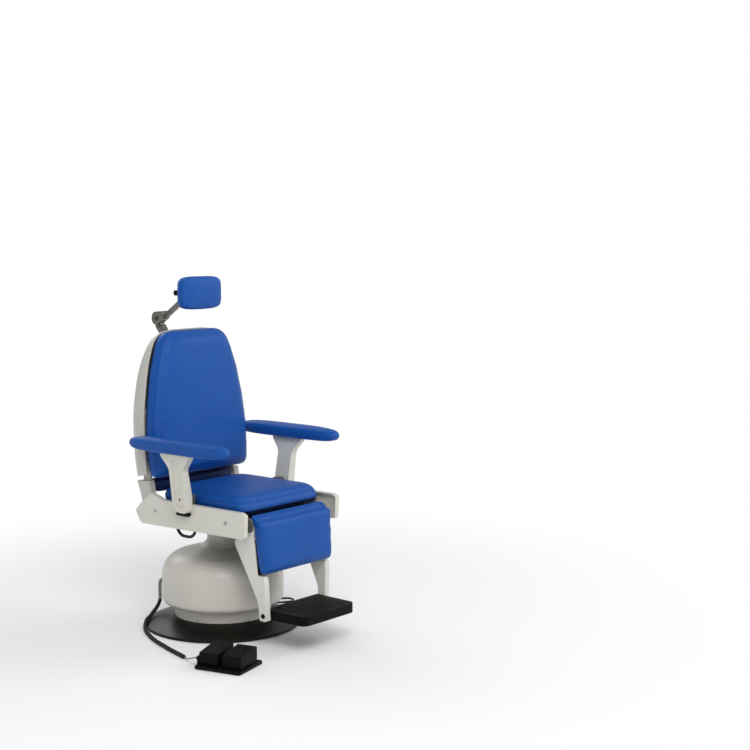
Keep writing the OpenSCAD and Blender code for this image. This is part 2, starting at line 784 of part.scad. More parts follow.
module switch_base() color("black") on_switch() {
    low = switch_feet_h;
    high = switch_feet_h + switch_plate_t;
    corner = [switch_d / 2, switch_w / 2];
    translate([0, 0, low]) linear_extrude(height = switch_plate_t)
        polygon(rounded([-corner, [corner.x, -corner.y], corner, [-corner.x, corner.y]],
            [switch_round, switch_round, switch_round, switch_round]));
    difference() {
        block([gland_wall_x[0], corner.y - gland_wall_t, high], [gland_wall_x[1], corner.y, gland_wall_top]);
        bar_y(0, switch_w, [(gland_wall_x[0] + gland_wall_x[1]) / 2, wire_gland_z], wire_r + run);
    }
    difference() {
        bar_y(corner.y, corner.y + wire_gland_l, [(gland_wall_x[0] + gland_wall_x[1]) / 2, wire_gland_z],
            wire_gland_r);
        bar_y(0, switch_w, [(gland_wall_x[0] + gland_wall_x[1]) / 2, wire_gland_z], wire_r + run);
    }
    for (s = [-1, 1]) {
        block([treadle_rear + treadle_pin_in - lug_w / 4, s * treadle_mid - lug_w / 2, high],
            [treadle_rear + treadle_pin_in + lug_w / 4, s * treadle_mid + lug_w / 2, treadle_pin_z
                + lug_w / 4]);
        bar_y(s * treadle_mid - treadle_w / 2, s * treadle_mid + treadle_w / 2,
            [treadle_rear + treadle_pin_in, treadle_pin_z], treadle_pin_r);
        block([-contact_w / 2, s * treadle_mid - contact_w / 2, high],
            [contact_w / 2, s * treadle_mid + contact_w / 2, contact_top]);
        translate([0, s * treadle_mid, contact_top]) cylinder(r = plunger_r, h = plunger_r);
    }
}

module switch_feet() color("dimgray") on_switch()
    for (x = [-1, 1], y = [-1, 1])
        translate([x * (switch_d / 2 - 2 * switch_foot_r), y * (switch_w / 2 - 2 * switch_foot_r), 0])
            cylinder(r = switch_foot_r, h = switch_feet_h);

// Treadle: a deep cap with a sloping top, hinged at its low rear end
module treadle(s) color("black") on_switch() difference() {
    base_z = switch_feet_h + switch_plate_t;
    front = treadle_rear + treadle_l;
    outer = rounded([[treadle_rear, base_z + 2 * edge], [front, base_z + treadle_lift], [front, treadle_high],
        [treadle_rear, treadle_step]], treadle_round);
    along(s * treadle_mid - treadle_w / 2, s * treadle_mid + treadle_w / 2) polygon(outer);
    along(s * treadle_mid - treadle_w / 2 + treadle_wall, s * treadle_mid + treadle_w / 2 - treadle_wall)
        polygon([[treadle_rear + treadle_wall, 0], [front - treadle_wall, 0],
            [front - treadle_wall, treadle_high - 2 * treadle_wall], [treadle_rear + treadle_wall,
                treadle_step - 2 * treadle_wall]]);
    bar_y(s * treadle_mid - treadle_w, s * treadle_mid + treadle_w,
        [treadle_rear + treadle_pin_in, treadle_pin_z], treadle_pin_r + run);
}

module up_treadle() treadle(1);
module down_treadle() treadle(-1);

// Lift

module column() color("lightgray") difference() {
    union() {
        translate([0, 0, column_low]) cylinder(r = column_r, h = flange_z - column_low);
        translate([0, 0, flange_z]) cylinder(r = head_r, h = flange_t);
    }
    translate([0, 0, column_low - cut]) cylinder(r = column_r - column_wall, h = flange_z - column_low + cut);
}

module actuator_rod() color("silver") translate([0, 0, rod_low]) cylinder(r = rod_r, h = flange_z - rod_low);

neck_low = roof_edge(0).y + (roof_edge(0).x - neck_foot_r + neck_wall) * tan(roof_slope) + slide;
neck_out = [for (s = neck_heights_share)
    [column_r + run + neck_wall + s.y * (neck_foot_r - column_r - neck_wall), neck_low
        + s.x * (flange_z - neck_low)]];
module neck_cover() color("whitesmoke") rotate_extrude($fn = 96) polygon(concat(neck_out,
    [for (i = [len(neck_out) - 1:-1:0]) neck_out[i] - [neck_wall, 0]]));

module lower_race() color("silver") sleeve(race_out, race_in, flange_z + flange_t, flange_z + flange_t
    + race_t);

// Seat

race_low = flange_z + flange_t + race_t + race_gap;
mount_low = race_low + race_t;
module upper_race() color("silver") sleeve(race_out, race_in, race_low, mount_low);

module seat_frame() color("dimgray") {
    web_low = mount_low + mount_t;
    block([-mount_half, -mount_half, mount_low], [mount_half, mount_half, web_low]);
    for (s = [-1, 1]) {
        side(s) block([web_x, -web_half_y, web_low], [web_x + web_t, web_half_y, rail_top]);
        block([-rail_x, s * beam_y - beam_w / 2, rail_top - beam_h], [rail_x, s * beam_y + beam_w / 2,
            rail_top]);
    }
}

module rail(s) color("dimgray") side(s) difference() {
    union() {
        across(rail_x, rail_x + rail_t) polygon(rounded([[rail_front, rail_low], [rail_rear, rail_low],
            [rail_rear, rail_top], [rail_front, rail_top]], [rail_round, rail_round, rail_round,
                rail_round]));
        block([rail_x + rail_t, arm_y - arm_bracket_w / 2, hinge_z - arm_bracket_low],
            [panel_x, arm_y + arm_bracket_w / 2, rail_top - arm_bracket_low / 2]);
        block([panel_x - arm_bracket_t, arm_y - arm_bracket_w / 2, hinge_z - arm_bracket_low],
            [panel_x, arm_y + arm_bracket_w / 2, arm_pin_z + 2 * arm_pin_r]);
        bar_x(panel_x - cut, post_in - slide, [arm_y, arm_pin_z], arm_boss_r);
        if (s < 0) for (y = lever_lugs)
            block([rail_x - lever_lug_t, y, lever_axle_z - 2 * lever_axle_r],
                [rail_x + rail_t, y + lever_lug_t, rail_low + lever_lug_t]);
    }
    bar_x(rail_x - cut, rail_x + rail_t + cut, [back_y, hinge_z], back_shaft_r + run);
    bar_x(rail_x - cut, rail_x + rail_t + cut, [leg_y, hinge_z], leg_pin_r + run);
    bar_x(panel_x - arm_bracket_t - cut, post_in, [arm_y, arm_pin_z], arm_pin_r + run);
    if (s < 0) bar_y(lever_lugs[0] - cut, lever_lugs[1] + lever_lug_t + cut,
        [-lever_axle_x, lever_axle_z], lever_axle_r + run);
    if (s < 0) block([rail_x - lever_lug_t - cut, lever_lugs[0] - cut, rail_low],
        [rail_x, lever_lugs[1] + lever_lug_t + cut, rail_top]);
}

lever_lugs = [lever_mid - lever_half - lever_lug_gap - lever_lug_t, lever_mid + lever_half + lever_lug_gap];
module rail_left() rail(1);
module rail_right() rail(-1);

panel_line = placed(panel_share, [panel_front, panel_low], [panel_l, panel_h]);
module panel(s) color("white") side(s) difference() {
    union() {
        difference() {
            across(panel_x, panel_x + panel_t) polygon(rounded(panel_line, panel_round));
            across(panel_x - cut, panel_x + panel_t - panel_wall) polygon(rounded(inset(panel_line,
                panel_wall),
                [for (r = panel_round) r > 2 * panel_wall ? r - panel_wall : panel_wall]));
        }
        for (y = panel_screw_y) bar_x(rail_x + rail_t, panel_x + panel_t - panel_wall, [y, panel_screw_z],
            boss_r);
    }
    for (y = panel_screw_y) bar_x(rail_x, panel_x + panel_t + cut, [y, panel_screw_z], panel_screw_r / 2);
    bar_x(panel_x, panel_x + panel_t + cut, latch_pin, latch_pin_r + run);
}
module panel_left() panel(1);
module panel_right() panel(-1);

module panel_screws() color("silver") both() for (y = panel_screw_y) {
    bar_x(panel_x + panel_t, panel_x + panel_t + panel_screw_h, [y, panel_screw_z], panel_screw_r);
    bar_x(rail_x + rail_t, panel_x + panel_t, [y, panel_screw_z], panel_screw_r / 2 - run);
}

module pivot_pins() color("silver") both() {
    bar_x(leg_x, rail_x + rail_t, [leg_y, hinge_z], leg_pin_r);
    bar_x(rail_x + rail_t, rail_x + rail_t + pin_head_t, [leg_y, hinge_z], pin_head_r);
    bar_x(panel_x - arm_bracket_t - pin_head_t, panel_x - arm_bracket_t, [arm_y, arm_pin_z], pin_head_r);
    bar_x(panel_x - arm_bracket_t, post_out_low - channel_depth, [arm_y, arm_pin_z], arm_pin_r);
}

module seat_board() color("burlywood") block([-board_half_w, board_front, rail_top], [board_half_w,
    board_rear, board_top]);

// Cushions: rings of a rounded outline, pulled in at the middle of each side and crowned on one face

// One point of a soft rounded box outline at an angle, in shares of the half sizes
function soft_corner(a, power) = let (c = cos(a), s = sin(a)) [
    sign(c) * pow(abs(c), 2 / power), sign(s) * pow(abs(s), 2 / power)];
// Rows of a cushion from its flat face to its crown, as shares of its outline and its height
cushion_share = [[0.95, 0], [0.985, 0.05], [0.998, 0.16], [1, 0.34], [1, 0.55], [0.988, 0.72], [0.96, 0.85],
    [0.9, 0.93], [0.77, 0.975], [0.5, 0.993], [0.2, 1]];
function cushion_ring(half, share, z, power, waist, sides) = [for (k = [0:sides - 1])
    let (a = 360 * (k + 0.5) / sides, p = soft_corner(a, power))
    [half.x * share * p.x * (1 - waist * pow(cos(a), 2) * pow(abs(cos(a)), 6)),
        half.y * share * p.y * (1 - waist * pow(abs(sin(a)), 8)), z]];

seat_low = board_top + slide;
module seat_cushion() color("royalblue") {
    mid = (seat_front + seat_rear) / 2;
    half_l = (seat_rear - seat_front) / 2;
    loft([for (s = cushion_share)
        [for (p = cushion_ring([seat_half_w, half_l], s.x, seat_low + s.y * seat_thick, 9, 0.015, 48))
            [p.x, mid + p.y + (p.y < 0 ? -p.y / half_l * s.y * seat_front_lean : 0), p.z]]]);
}

// Back

back_arm = concat([[-back_hub_r, 0]], placed(back_arm_share, [0, 0], [back_arm_top, back_arm_top]),
    [[back_hub_r, 0]]);
module back_frame() color("dimgray") on_back() difference() {
    union() {
        both() {
            bar_x(back_arm_x, back_arm_x + back_arm_t, [0, 0], back_hub_r);
            across(back_arm_x, back_arm_x
                + back_arm_t) polygon([for (i = [len(back_arm) - 1:-1:0]) back_arm[i]]);
            across(back_arm_x, back_arm_x + strap_t) polygon([[strap_front, back_arm_top / 2],
                [strap_front + strap_w, back_arm_top / 2], [strap_front + strap_w, strap_top], [strap_front,
                    strap_top]]);
        }
        for (z = back_bars) block([-back_arm_x, bar_front, z], [back_arm_x, bar_front + bar_t, z + bar_h]);
        block([-back_arm_x, bar_low_y, bar_low_z], [back_arm_x, bar_low_y + bar_h, bar_low_z + bar_h]);
    }
    bar_x(-panel_x, panel_x, [0, 0], back_shaft_r + run);
}
back_bars = [back_low + 2 * bar_h, strap_top - bar_h];

module back_cranks() color("silver") translate([0, back_y, hinge_z]) both() {
    bar_x(back_crank_x, back_arm_x + back_arm_t - edge, [0, 0], back_shaft_r);
    bar_x(back_crank_x, back_crank_x + back_crank_t, [0, 0], 2 * back_shaft_r - slide);
    across(back_crank_x, back_crank_x + back_crank_t) polygon([[-leg_hub_r, 0], [-2 * crank_pin_r, -crank_r],
        [2 * crank_pin_r, -crank_r], [leg_hub_r, 0]]);
    bar_x(back_crank_x, back_crank_x + back_crank_t, [0, -crank_r], 2 * crank_pin_r);
    bar_x(link_x - 2 * edge, back_crank_x, [0, -crank_r], crank_pin_r);
}

// One ring of the rear shell: an arc of a full curve behind a straight front edge
function shell_ring(row, d, front) =
    let (z_share = row[0], w = shell_half_w * row[1] - d, deep = shell_depth * row[2] - d)
    [for (k = [0:shell_sides]) let (a = 180 * k / shell_sides, p = soft_corner(a, shell_power),
            y = shell_front + deep * p.y,
            low = shell_low_front + (shell_low_rear - shell_low_front) * (y - shell_front) / shell_depth)
        [w * p.x, k == 0 || k == shell_sides ? front : y, low + (back_top + 2 * edge - low - d) * z_share]];
module back_shell() color("silver") on_back() difference() {
    loft([for (row = shell_share) shell_ring(row, 0, shell_front)]);
    loft([for (row = concat([[-0.02, shell_share[0][1], shell_share[0][2]]],
        [for (i = [1:len(shell_share) - 1]) shell_share[i]]))
        shell_ring(row, back_shell_wall, shell_front - cut)]);
    on_socket() block([-head_post_w / 2 - socket_wall, -head_post_t / 2 - post_step - socket_wall,
        -socket_from - socket_wall],
        [head_post_w / 2 + socket_wall, head_post_t / 2 + socket_wall, 0]);
}

// Outline of the back cushion, moved in by a distance
back_h = back_top - back_low;
function back_line(d) = concat(
    [for (s = back_share) [back_half_w * s.y - d, back_low + d + s.x * (back_h - 2 * d)]],
    [for (i = [len(back_share) - 1:-1:0]) [-back_half_w * back_share[i].y + d, back_low + d
        + back_share[i].x * (back_h - 2 * d)]]);

module back_board() color("burlywood") on_back() along(shell_front, shell_front + back_board_t)
    polygon(rounded(back_line(board_inset), [for (p = back_line(0)) back_round / 3], 3));

// Outline of the back cushion as evenly spread points with rounded corners
back_outline = let (r = back_round, line = rounded(back_line(0), concat([r / 2],
    [for (i = [1:len(back_share) - 2]) r],
    [1.5 * r, 1.5 * r], [for (i = [1:len(back_share) - 2]) r], [r / 2]), 3)) [for (p = line) [p.x, p.y]];
module back_cushion() color("royalblue") on_back() {
    mid_z = (back_top + back_low) / 2;
    loft([for (s = cushion_share) let (y = shell_front - slide - back_thick * (s.y < 0.85
        ? s.y * (1 - back_crown_share) / 0.85
            : 1 - back_crown_share + (s.y - 0.85) / 0.15 * back_crown_share))
        [for (p = back_outline) [p.x * s.x, y, mid_z + (p.y - mid_z) * (s.x + (1 - s.x) * 0.1)]]]);
}

module lower_back_pad() color("midnightblue") on_back()
    translate([0, lower_pad_y + lower_pad_t, lower_pad_z + lower_pad_h / 2]) rotate([90, 0, 0])
        loft([for (s = cushion_share) cushion_ring([lower_pad_w, lower_pad_h / 2], s.x, s.y * lower_pad_t,
            7, 0.01, 20)]);

// Headrest

// The post's straight part, which steps forward of its clamp, drawn upright and from the back's own frame
module on_slide() on_post() translate([0, -post_step, 0]) children();
module on_socket() rotate([back_lean, 0, 0]) translate([0, clamp_y - back_y, clamp_z - hinge_z])
    rotate([-post_lean, 0, 0]) children();

module headrest_socket() color("dimgray") difference() {
    union() {
        on_slide() block([-head_post_w / 2 - socket_wall, -head_post_t / 2 - socket_wall,
            -socket_from - socket_l],
            [head_post_w / 2 + socket_wall, head_post_t / 2 + socket_wall, -socket_from - 2 * socket_wall]);
        on_back() block([-head_post_w / 2, bar_front + bar_t, socket_arm_z],
            [head_post_w / 2, socket_reach(socket_arm_z), socket_arm_z + bar_h]);
    }
    on_slide() block([-head_post_w / 2 - slide / 2, -head_post_t / 2 - slide / 2,
        -socket_from - socket_l - cut],
        [head_post_w / 2 + slide / 2, head_post_t / 2 + slide / 2, 0]);
}
socket_arm_z = strap_top - bar_h;
// Where the front of the post runs at a height of the back
function socket_reach(z) = let (rise = (clamp_z - hinge_z) * cos(back_lean)
    + (clamp_y - back_y) * sin(back_lean))
    (clamp_y - back_y) * cos(back_lean) - (clamp_z - hinge_z) * sin(back_lean)
    - (rise - z) * tan(post_lean - back_lean) - (head_post_t / 2 + post_step) / cos(post_lean - back_lean);

module headrest_post() color("gray") on_post() difference() {
    union() {
        across(-head_post_w / 2, head_post_w / 2) polygon([[-head_post_t / 2 - post_step, -post_l],
            [head_post_t / 2 - post_step, -post_l], [head_post_t / 2 - post_step, -post_bend],
            [head_post_t / 2, -clamp_r - 2 * slide], [-head_post_t / 2, -clamp_r - 2 * slide],
            [-head_post_t / 2 - post_step, -post_bend]]);
        block([-clamp_disc, -head_post_t / 2, -clamp_r - cut], [clamp_disc, head_post_t / 2, 0]);
        bar_x(-clamp_disc, clamp_disc, [0, 0], clamp_r);
    }
    bar_x(-clamp_disc - cut, clamp_disc + cut, [0, 0], clamp_bolt_r + run);
}

module headrest_arm() color("gray") on_head_arm() difference() {
    union() {
        both() {
            bar_x(clamp_disc + slide / 2, clamp_disc + fork_t, [0, 0], clamp_r);
            block([clamp_disc + slide / 2, -bar_deep / 2 - bar_step, 0], [clamp_disc + fork_t, bar_deep / 2,
                clamp_r + 2 * fork_t]);
        }
        block([-clamp_disc - fork_t, -bar_deep / 2 - bar_step, clamp_r + slide],
            [clamp_disc + fork_t, bar_deep / 2, clamp_r + 3 * fork_t]);
        across(-clamp_disc, clamp_disc) polygon([[-bar_deep / 2 - bar_step, clamp_r + 2 * fork_t],
            [bar_deep / 2 - bar_step, clamp_r + 2 * fork_t], [bar_deep / 2, head_arm_l], [-bar_deep / 2,
                head_arm_l]]);
        bar_x(-clamp_disc, clamp_disc, [0, head_arm_l], tilt_r);
    }
    bar_x(-clamp_disc - fork_t - cut, clamp_disc + fork_t + cut, [0, 0], clamp_bolt_r + run);
    bar_x(-clamp_disc - cut, clamp_disc + cut, [0, head_arm_l], tilt_bolt_r + run);
}

module headrest_knob() color("black") translate([0, clamp_y, clamp_z]) {
    knob_from = clamp_disc + fork_t + slide / 2;
    difference() {
        bar_x(knob_from, knob_from + knob_l, [0, 0], knob_r);
        for (i = [0:knob_lobes - 1]) let (a = 360 * i / knob_lobes)
            bar_x(knob_from + knob_l / 5, knob_from + knob_l + cut, [knob_r * cos(a), knob_r * sin(a)],
                knob_r / 6);
    }
    bar_x(-knob_from - pin_head_t, knob_from, [0, 0], clamp_bolt_r);
    bar_x(-knob_from - pin_head_t, -knob_from, [0, 0], 2 * clamp_bolt_r);
}

module headrest_bracket() color("black") {
    plate_y = head_pad_back + slide;
    block([-head_plate_w / 2, plate_y, tilt_z - head_plate_h / 2], [head_plate_w / 2, plate_y
        + head_plate_t, tilt_z + head_plate_h / 2]);
    difference() {
        both() {
            bar_x(clamp_disc + slide / 2, clamp_disc + tilt_cheek, [tilt_y, tilt_z], tilt_r);
            block([clamp_disc + slide / 2, plate_y + head_plate_t, tilt_z - tilt_r], [clamp_disc
                + tilt_cheek, tilt_y, tilt_z + tilt_r]);
        }
        bar_x(-head_plate_w, head_plate_w, [tilt_y, tilt_z], tilt_bolt_r + run / 2);
    }
    bar_x(tilt_shaft_x, clamp_disc + tilt_cheek + pin_head_t, [tilt_y, tilt_z], tilt_bolt_r);
    bar_x(tilt_shaft_x - tilt_knob_l, tilt_shaft_x, [tilt_y, tilt_z], tilt_knob_r);
    bar_x(clamp_disc + tilt_cheek + slide / 3, clamp_disc + tilt_cheek + pin_head_t, [tilt_y, tilt_z],
        2 * tilt_bolt_r);
}

module headrest_pad() color("royalblue") translate([0, head_pad_back, tilt_z]) rotate([90, 0, 0])
    loft([for (s = cushion_share) cushion_ring([head_half_w, head_pad_h / 2], s.x, s.y * head_pad_t, 5,
        0.015, 28)]);

// Leg rest

// Front face of the leg cushion at a height below the hinge, and the lines behind it
function leg_front(z) = leg_face_top.x
    + (leg_face_top.y - z) * (leg_face_low.x - leg_face_top.x) / (leg_face_top.y - leg_face_low.y);
function leg_back(z) = leg_front(z) + leg_thick + leg_board_t;
leg_slot = leg_face_low.y - 2 * edge;
leg_plate_line = concat([[leg_toe_share.x, leg_toe_share.y] * leg_l], [for (s = leg_rear_share) s * leg_l],
    [[-leg_hub_r, 0], [leg_back(-leg_l / 6), -leg_l / 6], [leg_back(leg_slot), leg_slot],
        [leg_shin_share.x * leg_l + leg_slot_in, leg_slot], leg_shin_share * leg_l]);
leg_plate_round = [6, 6, 60, 60, 26, 20, 4, 2, 4, 2, 6, 10];

module leg_frame() color("white") on_leg() difference() {
    union() {
        both() {
            intersection() {
                across(leg_x - 2 * leg_in, leg_x + leg_t + leg_in) polygon(rounded(leg_plate_line,
                    leg_plate_round));
                along(-leg_l, leg_l) polygon([[leg_x, leg_l], [leg_x, -crank_r - leg_hub_r],
                    [leg_x - leg_in, -leg_l],
                    [leg_x - leg_in, -leg_l - cut], [leg_x - leg_in + leg_t, -leg_l - cut], [leg_x - leg_in
                        + leg_t, -leg_l],
                    [leg_x + leg_t, -crank_r - leg_hub_r], [leg_x + leg_t, leg_l]]);
            }
            bar_x(leg_x, leg_x + leg_t, [0, 0], leg_hub_r);
            bar_x(link_x - 2 * edge, leg_x + edge, [0, -crank_r], crank_pin_r);
        }
        for (s = leg_bar_share) bar_x(-leg_x, leg_x, s * leg_l, leg_bar_r);
    }
    both() {
        bar_x(leg_x - cut, leg_x + leg_t + cut, [0, 0], leg_pin_r + run);
        bar_x(leg_x - 2 * leg_in, leg_x + leg_t, foot_hinge, foot_pin_r + run);
    }
}
foot_hinge = [footplate_y - leg_y, footplate_z - hinge_z];

module leg_board() color("dimgray") on_leg() across(-leg_half_w + leg_pad_end,
    leg_half_w - leg_pad_end) polygon([
    [leg_back(leg_board_top) - leg_board_t, leg_board_top], [leg_back(leg_face_low.y) - leg_board_t,
        leg_face_low.y],
    [leg_back(leg_face_low.y), leg_face_low.y], [leg_back(leg_board_top), leg_board_top]]);

// Side view of the leg cushion: front face, rounded low end, flat back, and a tongue over the hinge
leg_pad_line = rounded([leg_face_top, leg_face_low,
    [leg_front(leg_face_low.y) + leg_thick - slide, leg_face_low.y + edge],
    [leg_front(-crank_r) + leg_thick - slide, -crank_r], [-leg_hub_r - 2 * edge, -2 * edge], [-leg_hub_r
        + edge, leg_hub_r - 2 * edge],
    [0, leg_hub_r + 2 * edge], [2 * edge, leg_hub_r + 4 * edge], [edge, leg_tongue_r - slide]],
        leg_pad_round, 3);
leg_pad_mid = [leg_face_top.x + leg_thick / 2, (leg_face_top.y + leg_face_low.y) / 2];
leg_rows_share = [[-1, 0.9], [-0.985, 0.97], [-0.95, 1], [-0.8, 1], [-0.4, 1], [0, 1], [0.4, 1], [0.8, 1],
    [0.95, 1],
    [0.985, 0.97], [1, 0.9]];
module leg_cushion() color("royalblue") on_leg() loft([for (row = leg_rows_share)
    [for (p = leg_pad_line) let (down = (leg_face_top.y - p.y) / (leg_face_top.y - leg_face_low.y),
            half = p.x > leg_tongue_y && p.y > -crank_r ? leg_half_w - leg_tongue_in : leg_half_w,
            q = leg_pad_mid + (p - leg_pad_mid) * row[1])
        [half * row[0] * (1 - (1 - leg_taper_share) * max(down, 0)),
            p.y > -crank_r ? p.x : q.x, p.y > -crank_r ? p.y : q.y]]]);

module footplate() color("black") {
    front = footplate_y + footplate_rear - footplate_l;
    low = footplate_z - footplate_t / 2;
    translate([0, 0, low]) linear_extrude(height = footplate_t) polygon(rounded([
        [-footplate_half, footplate_y + footplate_rear], [-footplate_nose, front],
        [footplate_nose, front], [footplate_half, footplate_y + footplate_rear]],
        [footplate_round / 4, footplate_round, footplate_round, footplate_round / 4]));
    for (i = [1:foot_ribs]) let (y = front + footplate_l * i / (foot_ribs + 1))
        block([-footplate_nose + footplate_round, y - foot_rib_w / 2, low + footplate_t],
            [footplate_nose - footplate_round, y + foot_rib_w / 2, low + footplate_t + foot_rib_h]);
    both() {
        bar_x(footplate_half - foot_rib_w, foot_side, [footplate_y, footplate_z], foot_pin_r);
        bar_x(foot_side, foot_side + pin_head_t, [footplate_y, footplate_z], 3 * foot_pin_r / 2);
    }
}
foot_side = leg_x + leg_t - leg_in + edge + slide;

// Links

module link(s) color("silver") translate([0, 0, hinge_z - crank_r]) side(s) difference() {
    union() {
        block([link_x, leg_y, -link_r], [link_x + link_t, back_y, link_r]);
        bar_x(link_x, link_x + link_t, [leg_y, 0], link_r);
        bar_x(link_x, link_x + link_t, [back_y, 0], link_r);
    }
    bar_x(link_x - cut, link_x + link_t + cut, [leg_y, 0], crank_pin_r + run);
    bar_x(link_x - cut, link_x + link_t + cut, [back_y, 0], crank_pin_r + run);
}
module link_left() link(1);
module link_right() link(-1);

// Arms

post_in = panel_x + panel_t + post_gap;
// Outer face of a post at a height, and the floor of its channel there
function post_face(z) = post_out_low + (post_out_top - post_out_low) * (z - post_low) / (post_top - post_low);
module arm_post(s) color("white") side(s) {
    arm_post_body();
    for (z = post_screw_z) bar_x(post_face(z) - channel_depth - cut, post_face(z) - channel_depth / 4,
        [arm_y, z], post_screw_r);
}
module arm_post_body() difference() {
    half = stem_w / 2;
    bend = post_neck - half;
    intersection() {
        across(post_in, post_out_top + cut) polygon(rounded([[arm_y - half, post_low], [arm_y + half,
            post_low],
            [arm_y + half, post_top - bend], [post_top_rear, post_top - bend / 6], [post_top_rear, post_top],
            [post_top_front, post_top], [post_top_front, post_top - bend / 6], [arm_y - half,
                post_top - bend]],
            [post_toe_round, post_heel_round, post_round, flange_round, flange_round, flange_round,
                flange_round, post_round]));
        along(post_top_front - cut, post_top_rear + cut) polygon([[post_in, post_low - cut],
            [post_out_low, post_low - cut], [post_out_top, post_top + cut], [post_out_top - post_t,
                post_top + cut],
            [post_in, arm_pin_z + 2 * arm_pin_r]]);
    }
    intersection() {
        across(post_in, post_out_top + 2 * cut) polygon(rounded([[arm_y - channel_w / 2, post_low
            + channel_w / 2],
            [arm_y + channel_w / 2, post_low + channel_w / 2], [arm_y + channel_w / 2,
                post_top - channel_w / 2],
            [arm_y - channel_w / 2, post_top - channel_w / 2]], channel_round));
        along(post_top_front - cut, post_top_rear + cut) polygon([[post_out_low - channel_depth,
            post_low - cut],
            [post_out_top + 2 * cut, post_low - cut], [post_out_top + 2 * cut, post_top + cut],
                [post_out_top - channel_depth, post_top + cut]]);
    }
    bar_x(post_in - cut, post_out_top, [arm_y, arm_pin_z], arm_pin_r + run);
}
module arm_post_left() arm_post(1);
module arm_post_right() arm_post(-1);

module arm_pad(s) color("royalblue") side(s) translate([arm_pad_x, arm_pad_front + arm_pad_l / 2, post_top
    + slide])
    loft([for (s = arm_pad_share) cushion_ring([arm_pad_w / 2, arm_pad_l / 2], s.x, s.y * arm_pad_h, 4, 0,
        28)]);
module arm_pad_left() arm_pad(1);
module arm_pad_right() arm_pad(-1);

latch_pin = [latch_rear - latch_h / 2 - edge, latch_low + latch_h / 2];
module latch(s) color("black") side(s) {
    across(post_in, post_in + latch_t) polygon(rounded([[latch_rear - latch_l, latch_low], [latch_rear,
        latch_low],
        [latch_rear, latch_low + latch_h], [latch_rear - latch_l, latch_low + latch_h]],
        [latch_h / 3, latch_h / 2 - edge / 2, latch_h / 2 - edge / 2, latch_h / 3]));
    bar_x(panel_x + panel_t - 2 * panel_wall, post_in, latch_pin, latch_pin_r);
}
module latch_left() latch(1);
module latch_right() latch(-1);

// Recline lever: a hanging loop on an axle under the near rail
module recline_lever() color("black") {
    for (s = [-1, 1]) {
        translate([lever_x, lever_mid + s * (lever_half - lever_round), lever_axle_z]) rotate([90, 0, 90])
            rotate([0, 0, s < 0 ? 180 : 270]) rotate_extrude(angle = 90)
                translate([lever_round, 0]) circle(r = lever_rod_r, $fn = form_fn);
        translate([lever_x, lever_mid + s * lever_half, lever_axle_z]) sphere(r = lever_rod_r);
        bar_x(lever_x, lever_axle_x, [lever_mid + s * lever_half, lever_axle_z], lever_rod_r);
    }
    bar_y(lever_mid - lever_half + lever_round, lever_mid + lever_half - lever_round,
        [lever_x, lever_axle_z - lever_round], lever_rod_r);
    bar_y(lever_lugs[0], lever_lugs[1] + lever_lug_t, [lever_axle_x, lever_axle_z], lever_axle_r);
}

base_mat();
base_plate();
skirt_ring();
skirt_screws();
pedestal_shell();
guide_tube();
guide_bush();
lift_motor();
control_box();
power_inlet();
brake_bracket();
cord_gland();
cord_guard();
conduit();
switch_wire();
switch_base();
switch_feet();
up_treadle();
down_treadle();
brake_lever();
column();
actuator_rod();
neck_cover();
lower_race();
upper_race();
seat_frame();
rail_left();
rail_right();
panel_left();
panel_right();
panel_screws();
pivot_pins();
seat_board();
seat_cushion();
recline_lever();
latch_left();
latch_right();
arm_post_left();
arm_post_right();
arm_pad_left();
arm_pad_right();
back_frame();
back_cranks();
back_shell();
back_board();
back_cushion();
lower_back_pad();
headrest_socket();
headrest_post();
headrest_arm();
headrest_knob();
headrest_bracket();
headrest_pad();
leg_frame();
leg_board();
leg_cushion();
footplate();
link_left();
link_right();
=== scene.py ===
# Electric examination chair for ear, nose and throat work: a round black base, a white pedestal that lifts,
# a seat that swivels, a reclining back tied to the leg rest, swing-away arms, a headrest and a wired foot switch.
import math

import bmesh
import bpy
from mathutils import Matrix, Vector, noise


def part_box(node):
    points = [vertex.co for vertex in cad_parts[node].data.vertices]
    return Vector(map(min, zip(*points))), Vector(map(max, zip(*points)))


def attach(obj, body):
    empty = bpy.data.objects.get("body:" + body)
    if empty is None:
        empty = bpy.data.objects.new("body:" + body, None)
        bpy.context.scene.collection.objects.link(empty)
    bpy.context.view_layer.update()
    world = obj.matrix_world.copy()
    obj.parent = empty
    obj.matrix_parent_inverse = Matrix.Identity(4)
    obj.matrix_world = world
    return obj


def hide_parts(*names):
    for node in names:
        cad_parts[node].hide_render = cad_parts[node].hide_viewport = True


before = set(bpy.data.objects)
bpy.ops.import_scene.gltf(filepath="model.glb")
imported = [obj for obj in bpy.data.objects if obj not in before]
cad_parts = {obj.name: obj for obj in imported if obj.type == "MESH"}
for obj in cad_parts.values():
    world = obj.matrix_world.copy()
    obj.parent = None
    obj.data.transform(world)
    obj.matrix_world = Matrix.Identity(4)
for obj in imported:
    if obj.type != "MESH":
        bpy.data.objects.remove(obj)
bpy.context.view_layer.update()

# View of the chair from its right-hand front, as in the photograph, and a plain studio: a pale floor that
# fades into a white surround, one broad lamp over the right shoulder of the camera and two soft fill lamps.
LENS_MM = 69.6
EYE = (-4.085, -4.158, 1.607)
EYE_TILT = 84.17
EYE_TURN = -50.59
FLOOR_HALF = 14.0
FLOOR_FADE_FROM = 1.0
FLOOR_FADE_TO = 2.6
FLOOR_PAINT = 0.9
SKY_TINT = (0.96, 0.98, 1, 1)
SKY_LEVEL = 0.52
LAMP_AIM = Vector((0, 0, 0.6))
LAMPS = (("key_lamp", (-2.6, -3.4, 4.2), 3.0, 150), ("side_lamp", (3.8, -2.6, 3.0), 2.6, 70),
         ("rear_lamp", (1.0, 4.2, 3.6), 3.0, 60))

